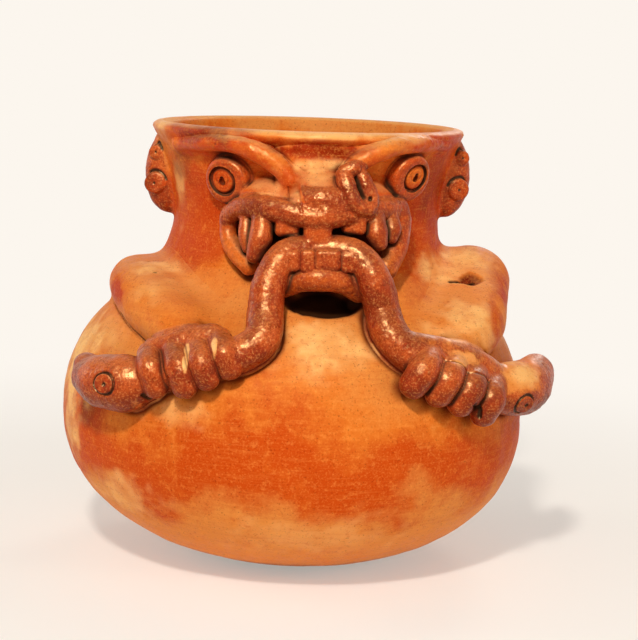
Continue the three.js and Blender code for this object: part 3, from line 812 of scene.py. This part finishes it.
# Lines: the edge and seam beside the nose, then the crack in the chip, a fold and two creases at the hands
LINES = {
    in_face: [
        ([(-9.6, 15, 19.5), (-8.2, 16.5, 15), (-7, 18, 10.5)], 0.8, 0.6, 0.3),
        ([(-12.2, 12, 18.5), (-12, 13, 14.5), (-9.5, 15, 11.5)], 0.6, 0.6, 0.4),
    ],
    on_vessel: [
        ([(57.4, 116, 4.1), (58.3, 116.2, 7.1), (58.6, 116.3, 10.3), (60.4, 116.8, 13)], 1.0, 1.2, 1.0),
        (
            [(29.5, 94.9, 14.3), (31, 93, 15.2), (34.5, 90, 14.6), (37, 87.3, 15), (41.2, 84, 13.3)],
            0.7, 0.8, 0.6,
        ),
        ([(35.6, 77.3, 13.5), (38.9, 71.7, 9.6)], 1.2, 1.0, 1.0),
        ([(-37.3, 77.4, 9.5), (-36.8, 75.6, 5.7)], 1.2, 1.2, 1.0),
    ],
}
under_arm = [(degrees, GRIP_HEIGHT + up - 0.4, 1) for degrees, up in ARMS["arm_left"]["crease"][2:6]]
LINES[on_vessel].append((under_arm, 0.8, 0.7, 0.8))
for place, *form in PITS:
    mark([place], *form)
for way, rows in LINES.items():
    for route, *form in rows:
        mark(smooth_path(each(way, route), 90), *form)

# A chip off the right shoulder, and hollows in the vessel's wall: place, reach and depth
CHIP = (on_vessel(60.6, 117.6, 12.4), (6.6, 8, 4.8), 1.3)
HOLLOWS = [
    (in_face(0, -1, -1), (30, 9, 9.5), 2.2),
    (on_vessel(3, 111.5), (16, 9, 7), 4.6),
    (in_face(0, 5.5, 32.4), (31, 9, 4), 1.4),
]


def at(x, y, z):
    return np.array([x, y, z])


# Patches of colour: place, reach and strength, by kind and by the way in which the place is given. The dark
# kind is painted shade, and some of the others paint light and shade too, as marked.
PALE, BLUSH, DEEP, HOLLOW_SHADE = "pale", "blush", "deep", "dark"
PATCHES = {
    PALE: {
        on_vessel: [
            ((-63, 119, 8), (11, 12, 9), 0.9), ((-50, 112, 11), (13, 12, 7), 0.4),
            ((-66, 94), (15, 26, 13), 0.45), ((57, 122, 9), (17, 16, 8), 0.9),
            ((71, 123.5, 10), (12, 14, 8), 0.85), ((35, 92.8, 14), (11, 12, 4.4), 0.55),
            # The patch at (3, 96) is the pale upper belly with a painted highlight in it
            ((46, 103, 9), (17, 16, 14), 0.8), ((3, 96), (24, 20, 14), 0.85),
            # The patch at (-76, 82) is a painted reflection of the bright backdrop down the left side
            ((-76, 82), (16, 30, 30), 1.2), ((-52, 36), (26, 26, 12), 0.6), ((-33, 72), (20, 16, 7), 0.5),
            # The patch at (-76, 170) is a painted highlight on the rim's left edge
            ((0, 24), (40, 30, 14), 0.35), ((-70, 150), (4, 9, 22), 0.8), ((-76, 170), (6, 10, 7), 1.0),
            ((-28.8, 95.6, 15.5), (1.6, 5, 6), 1.3), ((-27.7, 91.4, 16), (1.6, 5, 6), 1.3),
            # The brow patches at the end of this line and the start of the next are painted highlights
            # along the tops of the brows
            ((-22.4, 98, 17.2), (1.3, 5, 6), 1.2), ((-34, BROW_HEIGHT + 4.5, 3), (12, 9, 2.6), 0.5),
            ((34, BROW_HEIGHT + 5.5, 3), (13, 9, 2.8), 0.6), ((37, 100, 6), (12, 14, 9), 0.6),
        ],
        in_face: [
            # The first patch is the pale forehead with a painted highlight on it
            ((0, 6, 26.5), (14, 9, 3.4), 1.0), ((0, 9, 21.5), (11, 8, 3.4), 0.6),
            ((-17, 8, 18), (10, 8, 7), 0.45), ((19, 10, 17), (4, 6, 6), 0.7),
            # The patch at (2, 6, 39) is a painted highlight along the front of the rim
            ((-9.5, 14, 16), (3.4, 7, 6), 0.7), ((2, 6, 39), (38, 14, 3.4), 0.8),
        ],
        # The patch at (-91, -28, 60) is a painted reflection of the bright backdrop at the belly's left
        # edge
        at: [((-91, -28, 60), (9, 18, 22), 0.9), ((80, -64, 87), (11, 10, 7), 0.8)],
    },
    BLUSH: {
        on_vessel: [
            ((-66, 109, 14), (8, 14, 8), 1.5), ((-50, 171.5, 2), (18, 18, 8), 1.8),
            ((38, 172, 2), (24, 20, 6), 0.8), ((70, 142), (10, 18, 24), 1.0), ((80, 66), (8, 26, 22), 0.8),
            ((40, 116, 3), (12, 12, 10), 0.6), ((48, 140), (20, 20, 18), 0.9),
            ((-50, 126), (16, 16, 12), 0.6), ((-45, 145), (14, 14, 16), 0.5),
            ((-42, 171, 1), (26, 22, 8), 1.6), ((54, 171, 1), (26, 26, 8), 1.8),
        ],
        # The band under the rim's overhang: partly the recess's own red, partly painted shadow of the
        # overhang
        in_face: [((0, 5, 32.4), (30, 10, 4.6), 1.8)],
        at: [
            ((69.5, -52, 103), (4.5, 20, 13), 1.4), ((74, -28, 114), (7, 26, 11), 1.4),
            ((66, -12, 127), (9, 26, 4.5), 1.0),
        ],
    },
    DEEP: {
        on_vessel: [
            ((-64, 158), (12, 14, 9), 0.6), ((56, 156), (20, 20, 16), 0.55),
            ((-45, 171, 1), (26, 20, 6), 0.8), ((-62, 64), (16, 16, 9), 0.6),
            ((66, 66), (18, 22, 12), 0.45),
        ],
        in_face: [
            # The first patch is the same band under the rim: partly its own dark red, partly painted shadow
            # of the overhang
            ((0, 5, 32.6), (28, 9, 3.6), 0.8), ((-22, 8, 10), (15, 12, 5), 1.5),
            ((22, 8, 9), (14, 12, 4.5), 0.9), ((4, 16, 14), (11, 9, 6), 0.6),
        ],
        at: [((24.2, -79.6, 109), (8, 9, 10), 0.9)],
    },
    # Painted shade: black in the hollow under the chin and inside the mouth
    HOLLOW_SHADE: {on_vessel: [((3, 111), (16.5, 9, 7.5), 1.3)], in_face: [((0, 0, -1), (31, 9, 10), 1.0)]},
}
WANDER = [(0.3, 6.0, 11), (0.25, 3.0, 12)]  # height, size and seed of the noise in a patch's ragged edge


def near_patch(vertices, centre, reach, power=2.0):
    return np.clip(1 - (np.abs((vertices - centre) / reach) ** power).sum(1), 0, 1)


def ragged_patch(vertices, centre, reach):
    """A patch whose edge wanders."""
    near = 1 - np.sqrt((((vertices - centre) / reach) ** 2).sum(1)) + layered_noise(vertices, WANDER)
    return soft_step(near, 0, 0.75)


def tints_of(vertices):
    """Strength of each kind of patch at each vertex."""
    tints = {}
    for kind, ways in PATCHES.items():
        tint = tints[kind] = np.zeros(len(vertices), np.float32)
        spots = [(way(*place), *rest) for way, rows in ways.items() for place, *rest in rows]
        for centre, reach, strength in spots:
            near = np.flatnonzero((np.abs(vertices - centre) < np.array(reach) * 1.6).all(1))
            if kind == HOLLOW_SHADE:
                found = near_patch(vertices[near], centre, reach) ** 0.7
            else:
                found = ragged_patch(vertices[near], centre, reach)
            tint[near] = np.maximum(tint[near], strength * found)
    return tints


def press_marks(vertices, lift, groove):
    """Sinks the lines and pits into the lift, and darkens the grooves with painted shade."""
    for points, width, depth, dark in marks:
        near = np.flatnonzero(((vertices > points.min(0) - 2) & (vertices < points.max(0) + 2)).all(1))
        if len(near) == 0:
            continue
        away = np.min([np.linalg.norm(vertices[near] - point, axis=1) for point in points], axis=0)
        lift[near] -= depth * np.clip(1 - (away / width) ** 2, 0, 1) ** 1.5
        groove[near] = np.maximum(groove[near], dark * np.clip(1.25 - away / width, 0, 1))


PLAIN = {"crevice_shading": 0.1}  # what a skin has for 0 where it isn't outside
# Pieces of coarser, sandier clay, and how much more their grain stands out
SANDY = {
    "nose": 2.6,
    **dict.fromkeys(["nostril_fold_inner", "nostril_fold_outer", "brow_left", "brow_right"], 2),
    **dict.fromkeys(["upper_lip_left", "upper_lip_right"], 1.3),
}
# Heights between which the rim's slip, waves, coarser grain and lighter painted crease shade set in
RIM_SLIP, RIM_WAVES, RIM_GRAIN, RIM_LIGHT = (167, 171), (166, 170), (164, 169), (163, 168)


def finish_piece(name, vertices, faces, slot, outward=None, outside=None):
    """Kneads, marks and tints a piece. A vessel's skin is left plain where it isn't outside."""
    is_skin, is_rim = outward is not None, name == "rim_roll"
    if not is_skin:
        outward = outward_of(vertices)
    height = vertices[:, 2]
    red = redness(vertices)
    if is_rim:
        red = np.maximum(red, 0.24 * soft_step(height, *RIM_SLIP))
    # Painted shade in the crevices, made lighter towards the rim
    shade = crevice_shading(vertices, outward)
    shade *= 1 - 0.65 * soft_step(height, *RIM_LIGHT)
    pebble = np.maximum(red, 0.15) * SANDY.get(name, 1) + 0.75 * soft_step(height, *RIM_GRAIN)
    lift = unevenness(vertices, pebble) - 0.1
    if is_rim:
        lift += 0.5 * value_noise(vertices, 6, 8) * soft_step(height, *RIM_WAVES)
    groove = np.zeros(len(vertices), np.float32)
    press_marks(vertices, lift, groove)
    for centre, reach, depth in HOLLOWS if is_skin else []:
        lift -= depth * soft_step(near_patch(vertices, centre, reach), 0, 0.5)
    chipped = soft_step(near_patch(vertices, CHIP[0], CHIP[1], 1.2), 0, 0.4)
    lift -= CHIP[2] * chipped
    tints = tints_of(vertices)
    tints[DEEP] = np.maximum(tints[DEEP], 1.15 * chipped)
    tints[PALE] *= 1 - 0.7 * chipped
    # The painted shade of the hollows lies on the bare clay alone
    tints[HOLLOW_SHADE] = np.clip(tints[HOLLOW_SHADE] * (1 - red), 0, 1)
    attributes = {"slip": red, "crevice_shading": shade, "groove": groove, **tints}
    if outside is not None:
        lift = np.where(outside, lift, 0)
        attributes = {key: np.where(outside, value, PLAIN.get(key, 0)) for key, value in attributes.items()}
    moved = vertices + outward * lift[:, None]
    moved[:, 2] = np.clip(moved[:, 2], 0, TOP if is_rim else TOP - BELOW_TOP)
    piece = add_mesh(name, moved, faces, slot)
    for attribute, values in attributes.items():
        layer = piece.data.attributes.new(attribute, "FLOAT", "POINT")
        layer.data.foreach_set("value", np.asarray(values, np.float32))


# The vessel: turned skins, dense enough for the clay's unevenness
COLUMNS = 460
SEAM_STEP = 0.04  # a row this close to the seam keeps its shading crisp


def evenly(profile, spacing):
    """The profile with points at an even spacing along it."""
    profile = np.array(profile, float)
    length = np.concatenate([[0], np.cumsum(np.linalg.norm(np.diff(profile, axis=0), axis=1))])
    places = np.linspace(0, length[-1], max(int(length[-1] / spacing), 1) + 1)
    return np.stack([np.interp(places, length, profile[:, a]) for a in range(2)], 1)


def turned(sections, closed):
    """A skin turned from profiles given one after another; each starts where the one before ends."""
    profile = np.concatenate([sections[0]] + [section[1:] for section in sections[1:]])
    if closed:
        profile = profile[:-1]
    angles = np.linspace(0, 2 * np.pi, COLUMNS, endpoint=False)
    rows = profile if closed else profile[1:-1]
    r, z = rows[:, 0][:, None], rows[:, 1][:, None]
    x = r * np.sin(angles) + lean(z)
    y = -r * np.cos(angles) + 0 * z
    vertices = np.stack([x, y, z + 0 * x], 2).reshape(-1, 3)
    count = len(rows)
    column = np.arange(COLUMNS)
    following = (column + 1) % COLUMNS
    faces = []
    for row in range(count if closed else count - 1):
        low, high = row * COLUMNS, (row + 1) % count * COLUMNS
        faces += np.stack([low + column, low + following, high + following, high + column], 1).tolist()
    if not closed:
        first, last = len(vertices), len(vertices) + 1
        poles = [[lean(p[1]), 0, p[1]] for p in (profile[0], profile[-1])]
        vertices = np.concatenate([vertices, poles])
        top = (count - 1) * COLUMNS
        faces += [[first, int(b), int(a)] for a, b in zip(column, following)]
        faces += [[last, top + int(a), top + int(b)] for a, b in zip(column, following)]
    return vertices, faces


def offset(profile, by):
    """The profile moved to its side."""
    along = np.gradient(profile, axis=0)
    along /= np.linalg.norm(along, axis=1, keepdims=True)
    return profile + np.stack([along[:, 1], -along[:, 0]], 1) * by


def vessel_piece(name, sections, closed):
    """Turns a skin and says for each vertex which way the wall faces and if it is outside."""
    vertices, faces = turned(sections, closed)
    x, y, z = columns(vertices)
    depth = vessel(x, y, z)
    outside = (depth > -1.5) & (z > 0.01)
    away = np.stack([x - lean(z), y, 0 * z], 1)
    away /= np.maximum(np.linalg.norm(away, axis=1, keepdims=True), 1e-6)
    step = np.clip(z / HEIGHT_STEP, 0, len(HEIGHTS) - 2).astype(int)
    cosine = STEEPNESS[step][:, None]
    sine = -np.sign(np.gradient(RADII))[step][:, None] * np.sqrt(1 - cosine**2)
    outward = away * cosine + np.array([0, 0, 1.0]) * sine
    outward[depth < -BODY_WALL / 2] *= -1
    finish_piece(name, vertices, faces, "buff_clay", outward, outside)


# Spacing of the rows on what shows, on edges and inside
BODY_ROWS, NECK_ROWS, RIM_ROWS = 1.2, 0.95, 0.8
EDGE_ROWS, FLOOR_ROWS, INNER_BODY_ROWS, INNER_NECK_ROWS = 2, 3, 5, 1.6

wall = OUTLINE[OUTLINE[:, 1] <= SEAM_HEIGHT]
seam = np.array([np.interp(SEAM_HEIGHT, HEIGHTS, RADII), SEAM_HEIGHT])
wall = np.concatenate([wall, [seam]])
inner_wall = offset(wall, -BODY_WALL)
heights = inner_wall[:, 1]
inner_wall = inner_wall[(heights > FLOOR_THICKNESS + 2) & (heights < SEAM_HEIGHT - 1)][::-1]
floor_edge, floor_top = inner_wall[-1], (0, FLOOR_THICKNESS)
seam_inside = np.array([seam[0] - BODY_WALL, SEAM_HEIGHT])
vessel_piece(
    "bowl_body",
    [
        evenly([(0, 0), (FOOT_RADIUS, 0)], FLOOR_ROWS),
        evenly([*wall[:-1], seam - (0, SEAM_STEP)], BODY_ROWS),
        np.array([seam - (0, SEAM_STEP), seam]),
        evenly([seam, seam_inside], EDGE_ROWS),
        evenly([seam_inside, *inner_wall], INNER_BODY_ROWS),
        evenly([floor_edge, (floor_edge[0] - BODY_WALL, floor_top[1]), floor_top], FLOOR_ROWS),
    ],
    False,
)

collar = OUTLINE[(OUTLINE[:, 1] > SEAM_HEIGHT) & (OUTLINE[:, 1] <= NECK_TOP_HEIGHT)]
collar = np.concatenate([[seam], collar])
collar_inside = np.stack([collar[:, 0] - NECK_WALL, collar[:, 1]], 1)[::-1]
vessel_piece(
    "neck_collar",
    [
        np.array([seam, seam + (0, SEAM_STEP)]),
        evenly([seam + (0, SEAM_STEP), *collar[1:]], NECK_ROWS),
        evenly([collar[-1], collar_inside[0]], EDGE_ROWS),
        evenly(collar_inside, INNER_NECK_ROWS),
        evenly([collar_inside[-1], seam_inside, seam], EDGE_ROWS),
    ],
    True,
)

# Rim: a half round lip, whose foot leaves the neck's skin at a very slight angle, so that no line shows
LIP_HALF, LIP_HEIGHT, LIP_STEPS = 4.3, 170.8, 24
LIP_RISE = RIM_HEIGHT - 0.4 - LIP_HEIGHT
bend = np.linspace(0, np.pi, LIP_STEPS + 1)
lip_radii = RIM_RADIUS - LIP_HALF + LIP_HALF * np.cos(bend)
lip = np.stack([lip_radii, LIP_HEIGHT + LIP_RISE * np.sin(bend) ** 0.8], 1)
foot_heights = np.linspace(157, 165.6, 9)
foot = np.stack([np.interp(foot_heights, HEIGHTS, RADII) + np.linspace(-0.2, 0.12, 9), foot_heights], 1)
foot_inside = foot[0] - (NECK_WALL - 0.5, 0)
under_lip = np.array([RIM_RADIUS - 0.9, 169.2])
vessel_piece("rim_roll", [evenly([*foot, under_lip, *lip, foot_inside, foot[0]], RIM_ROWS)], True)

for index, piece in enumerate(pieces):
    vertices, quads = piece_mesh(index)
    finish_piece(piece.name, vertices, quads.tolist(), piece.slot)


# Looks
def linear(red, green, blue):
    """A colour as a screen shows it, as light."""
    shares = [c / 255 for c in (red, green, blue)]
    return (*(s / 12.92 if s <= 0.04045 else ((s + 0.055) / 1.055) ** 2.4 for s in shares), 1)


BUFF = linear(218, 134, 62)
ORANGE = linear(216, 112, 36)
RED_ORANGE = linear(194, 70, 14)
CREAM = linear(246, 190, 118)
STRAW = linear(240, 158, 70)
DARK_RED = linear(104, 24, 6)
SLIP = linear(148, 40, 9)
SLIP_LIGHT = linear(192, 78, 26)
GOLD = linear(236, 164, 88)
FIRE_RED = linear(182, 52, 12)
# Black of the painted shade in crevices, hollows and pressed lines
PAINTED_SHADE_BLACK = linear(24, 7, 5)
COLOUR_A, COLOUR_B, MIXED = 6, 7, 2  # sockets of a mix of colours


class Shader:
    """The nodes of a material or a world, under construction."""

    def __init__(self, owner, output):
        owner.use_nodes = True
        self.owner, self.tree = owner, owner.node_tree
        self.tree.nodes.clear()
        self.output = self.node(output)

    def node(self, kind, inputs=None, **settings):
        made = self.tree.nodes.new(kind)
        for key, value in settings.items():
            setattr(made, key, value)
        for key, value in (inputs or {}).items():
            self.link(value, made.inputs[key])
        return made

    def link(self, source, target):
        if hasattr(source, "is_output"):
            self.tree.links.new(source, target)
        else:
            target.default_value = source

    def show(self, surface):
        self.link(surface.outputs[0], self.output.inputs["Surface"])
        return self.owner

    def place(self):
        return self.node("ShaderNodeTexCoord").outputs["Object"]

    def upper(self, vector):
        return self.node("ShaderNodeSeparateXYZ", {"Vector": vector}).outputs["Z"]

    def noise(self, size, detail, roughness, stretch=(1, 1, 1)):
        """Noise of a size in millimetres."""
        scale = tuple(1 / (size * MM) / s for s in stretch)
        mapped = self.node("ShaderNodeMapping", {"Vector": self.place(), "Scale": scale}).outputs["Vector"]
        inputs = {"Vector": mapped, "Scale": 1.0, "Detail": detail, "Roughness": roughness}
        return self.node("ShaderNodeTexNoise", inputs).outputs["Fac"]

    def math(self, operation, a, b, clamp=False):
        return self.node("ShaderNodeMath", {0: a, 1: b}, operation=operation, use_clamp=clamp).outputs[0]

    def times(self, a, b):
        return self.math("MULTIPLY", a, b)

    def plus(self, a, b):
        return self.math("ADD", a, b)

    def swing(self, noise, share):
        """A share of how far the noise is from its middle."""
        return self.times(self.math("SUBTRACT", noise, 0.5), share)

    def ramp(self, value, low, high, out_low=0.0, out_high=1.0):
        inputs = {"Value": value, "From Min": low, "From Max": high, "To Min": out_low, "To Max": out_high}
        return self.node("ShaderNodeMapRange", inputs, interpolation_type="SMOOTHSTEP").outputs["Result"]

    def colours(self, value, stops):
        made = self.node("ShaderNodeValToRGB", {"Fac": value})
        elements = made.color_ramp.elements
        for _ in stops[2:]:
            elements.new(0.5)
        for element, (place, colour) in zip(elements, stops):
            element.position, element.color = place, colour
        return made.outputs["Color"]

    def mix(self, share, a, b):
        inputs = {"Factor": share, COLOUR_A: a, COLOUR_B: b}
        return self.node("ShaderNodeMix", inputs, data_type="RGBA").outputs[MIXED]

    def layered(self, colour, layers):
        """The colour under layers: noise, where it starts and is whole, share and colour of each."""
        for value, start, whole, share, over in layers:
            colour = self.mix(self.ramp(value, start, whole, 0, share), colour, over)
        return colour

    def attribute(self, name):
        return self.node("ShaderNodeAttribute", attribute_name=name).outputs["Fac"]


# Fired colour up the vessel: height and colour
FIRED_HEIGHT = 174
FIRED = [
    (0, BUFF), (32, BUFF), (46, RED_ORANGE), (62, RED_ORANGE), (76, ORANGE), (92, BUFF),
    (114, ORANGE), (130, RED_ORANGE), (160, RED_ORANGE), (168, ORANGE), (FIRED_HEIGHT, BUFF),
]


def clay_material(name):
    s = Shader(bpy.data.materials.new(name), "ShaderNodeOutputMaterial")
    slip, shade_in_crevices, groove = s.attribute("slip"), s.attribute("crevice_shading"), s.attribute("groove")
    broad = s.noise(38, 4, 0.55)
    middle = s.noise(11, 4, 0.6)
    fine = s.noise(2.4, 4, 0.65)
    grain = s.noise(0.75, 2, 0.6)
    streak = s.noise(1.1, 4, 0.6, (14, 14, 1))
    height = s.upper(s.place())
    # Which way the surface faces, for the painted light and shade below
    upward = s.upper(s.node("ShaderNodeNewGeometry").outputs["Normal"])

    def cloudy(kind, start, weakest, strongest):
        """A kind of patch, broken up by the middling noise."""
        share = s.ramp(middle, start, 0.6, weakest, strongest)
        return s.math("MULTIPLY", s.attribute(kind), share, clamp=True)

    # Bare clay
    warp = s.plus(s.swing(broad, 0.4), s.swing(middle, 0.12))
    level = s.plus(s.times(height, 1 / (FIRED_HEIGHT * MM)), warp)
    bare = s.colours(level, [(stop / FIRED_HEIGHT, colour) for stop, colour in FIRED])
    bare = s.layered(bare, [(middle, 0.5, 0.75, 0.45, ORANGE)])
    above = s.ramp(height, 0.1, 0.12)
    deep = cloudy(DEEP, 0.3, 0.5, 0.9)
    for share, over in [
        (cloudy(BLUSH, 0.3, 0.5, 1), FIRE_RED),
        (cloudy(PALE, 0.35, 0.45, 1), CREAM),
        # Painted light and shade: higher up, faces turned up are lighter cream and faces turned down redder
        (s.times(above, s.ramp(upward, 0.45, 0.95, 0, 0.35)), CREAM),
        (s.times(above, s.ramp(upward, 0.1, -0.6, 0, 0.5)), FIRE_RED),
        (deep, DARK_RED),
    ]:
        bare = s.mix(share, bare, over)
    bare = s.layered(
        bare,
        [
            (streak, 0.5, 0.72, 0.16, STRAW),
            (streak, 0.5, 0.3, 0.16, RED_ORANGE),
            (fine, 0.52, 0.7, 0.25, STRAW),
            (fine, 0.46, 0.32, 0.3, RED_ORANGE),
            (grain, 0.54, 0.66, 0.2, STRAW),
            (grain, 0.39, 0.29, 0.45, DARK_RED),
        ],
    )

    # Burnished slip, worn through at its edge and left off the pale patches, some of which are painted
    # highlights
    red = s.layered(
        SLIP,
        [
            (middle, 0.42, 0.6, 0.7, SLIP_LIGHT),
            (middle, 0.46, 0.34, 0.5, DARK_RED),
            (fine, 0.46, 0.34, 0.45, DARK_RED),
            # Painted light and shade: golden where the slip faces up, dark red where it faces down
            (upward, 0.3, 0.95, 0.16, GOLD),
            (upward, 0.15, -0.6, 0.7, DARK_RED),
        ],
    )
    red = s.mix(s.times(deep, 0.7), red, DARK_RED)
    # Painted glints: the golden flecks of the grain; the dark flecks are the slip's own
    red = s.layered(red, [(grain, 0.52, 0.66, 0.26, GOLD), (grain, 0.46, 0.34, 0.5, DARK_RED)])
    edge = s.plus(s.plus(slip, s.swing(fine, 0.9)), s.times(s.attribute(PALE), -0.9))
    cover = s.ramp(edge, 0.24, 0.66)
    colour = s.layered(
        s.mix(cover, bare, red),
        [
            # Painted shade: in the crevices, in the hollows under the chin and in the mouth, and in the
            # pressed lines and pits
            (shade_in_crevices, 0.2, 0.75, 0.85, DARK_RED),
            (shade_in_crevices, 0.58, 1.0, 0.85, PAINTED_SHADE_BLACK),
            (s.attribute(HOLLOW_SHADE), 0.15, 0.8, 0.97, PAINTED_SHADE_BLACK),
            (groove, 0.1, 0.7, 0.95, PAINTED_SHADE_BLACK),
        ],
    )

    # Gloss and fine relief
    shine = s.math("MAXIMUM", cover, s.ramp(slip, 0.08, 0.35, 0, 0.75))
    rough = s.plus(s.ramp(shine, 0, 1, 0.46, 0.33), s.ramp(fine, 0.35, 0.65, -0.06, 0.1))
    relief = s.times(fine, s.ramp(cover, 0, 1, 0.8, 1.3))
    relief = s.plus(relief, s.times(grain, s.ramp(cover, 0, 1, 0.45, 1.0)))
    relief = s.plus(relief, s.times(streak, 0.35))
    bump = s.node("ShaderNodeBump", {"Strength": 0.42, "Distance": 0.25 * MM, "Height": relief})
    inputs = {
        "Base Color": colour,
        "Roughness": s.plus(rough, s.ramp(shade_in_crevices, 0.2, 0.8, 0, 0.4)),
        "Specular IOR Level": s.ramp(shine, 0, 1, 0.07, 0.55),
        "IOR": 1.4,
        "Specular Tint": (1, 0.62, 0.28, 1),
        "Normal": bump.outputs["Normal"],
    }
    return s.show(s.node("ShaderNodeBsdfPrincipled", inputs))


finishes = {slot: clay_material(slot) for slot in ("buff_clay", "red_slip")}
for piece in made_pieces:
    piece.data.materials.clear()
    piece.data.materials.append(finishes[piece["finish"]])


# Floor and background
FLOOR_COLOUR = linear(252, 246, 238)
AIR_COLOUR = (1, 0.97, 0.93, 1)


def shown_rays(s):
    """One for the rays that show the background: seen straight, mirrored or through."""
    path = s.node("ShaderNodeLightPath")
    straight = s.math("MAXIMUM", path.outputs["Is Camera Ray"], path.outputs["Is Glossy Ray"])
    return s.math("MAXIMUM", straight, path.outputs["Is Transmission Ray"])


def floor_material():
    """Pale and matt near the object, and as bright as the background farther off."""
    s = Shader(bpy.data.materials.new("pale_floor"), "ShaderNodeOutputMaterial")
    away = s.node("ShaderNodeVectorMath", {0: s.place()}, operation="LENGTH").outputs["Value"]
    matt = s.node("ShaderNodeBsdfPrincipled", {"Base Color": FLOOR_COLOUR, "Roughness": 0.8})
    glow = s.node("ShaderNodeEmission", {"Color": FLOOR_COLOUR})
    share = s.times(s.ramp(away, 0.12, 0.45, 0.4, 1.0), shown_rays(s))
    return s.show(s.node("ShaderNodeMixShader", {"Fac": share, 1: matt.outputs[0], 2: glow.outputs[0]}))


bpy.ops.mesh.primitive_circle_add(vertices=64, radius=4, fill_type="NGON", location=(0, 0, 0))
floor = bpy.context.object
floor.name = "floor"
floor.data.materials.append(floor_material())

studio = Shader(bpy.data.worlds.new("studio"), "ShaderNodeOutputWorld")
air = studio.node("ShaderNodeBackground", {"Color": AIR_COLOUR, "Strength": 0.24})
backdrop = studio.node("ShaderNodeBackground", {"Color": FLOOR_COLOUR, "Strength": 1.0})
choice = {"Fac": shown_rays(studio), 1: air.outputs[0], 2: backdrop.outputs[0]}
bpy.context.scene.world = studio.show(studio.node("ShaderNodeMixShader", choice))

# Lamps: place and width in metres, power and colour. The sheen shows on the burnished slip alone
MIDDLE = Vector((0, 0, 0.09))
KEY_PLACE = (-0.24, -0.95, 0.9)
LAMPS = {
    "key": (KEY_PLACE, 0.11, 11.2, (1, 0.96, 0.9)),
    "sheen": (KEY_PLACE, 0.32, 46, (1, 0.95, 0.86)),
    "fill": ((0.9, -0.7, 0.45), 0.3, 2.3, (1, 0.96, 0.9)),
    "edge": ((-1.0, 0.3, 0.4), 0.4, 2.0, (1, 0.97, 0.93)),
    "back": ((0.5, 1.0, 0.8), 0.4, 3.0, (1, 0.97, 0.93)),
}
for name, (place, width, power, colour) in LAMPS.items():
    light = bpy.data.lights.new(name, "AREA")
    light.shape = "DISK"
    light.size = width
    light.energy = power
    light.color = colour
    lamp = bpy.data.objects.new(name, light)
    bpy.context.scene.collection.objects.link(lamp)
    lamp.location = place
    lamp.rotation_euler = (MIDDLE - Vector(place)).to_track_quat("-Z", "Y").to_euler()
    lamp.visible_diffuse = name != "sheen"

# Camera: turned about the axis, tilted down and rolled
AZIMUTH, PITCH, ROLL = math.radians(-5), math.radians(8.85), math.radians(2)
CAMERA_PLACE = Vector((0.0068, -0.740, 0.2095))
FOCAL_PIXELS, PICTURE_PIXELS, SENSOR_WIDTH = 1850, 640, 36
tilt = Matrix.Rotation(math.pi / 2 - PITCH, 4, "X") @ Matrix.Rotation(ROLL, 4, "Z")
lens = bpy.data.cameras.new("camera")
lens.sensor_width = SENSOR_WIDTH
lens.lens = FOCAL_PIXELS / PICTURE_PIXELS * SENSOR_WIDTH
camera = bpy.data.objects.new("camera", lens)
bpy.context.scene.collection.objects.link(camera)
camera.matrix_world = Matrix.Rotation(AZIMUTH, 4, "Z") @ Matrix.Translation(CAMERA_PLACE) @ tilt
bpy.context.scene.camera = camera
bpy.context.scene.view_settings.view_transform = "Standard"
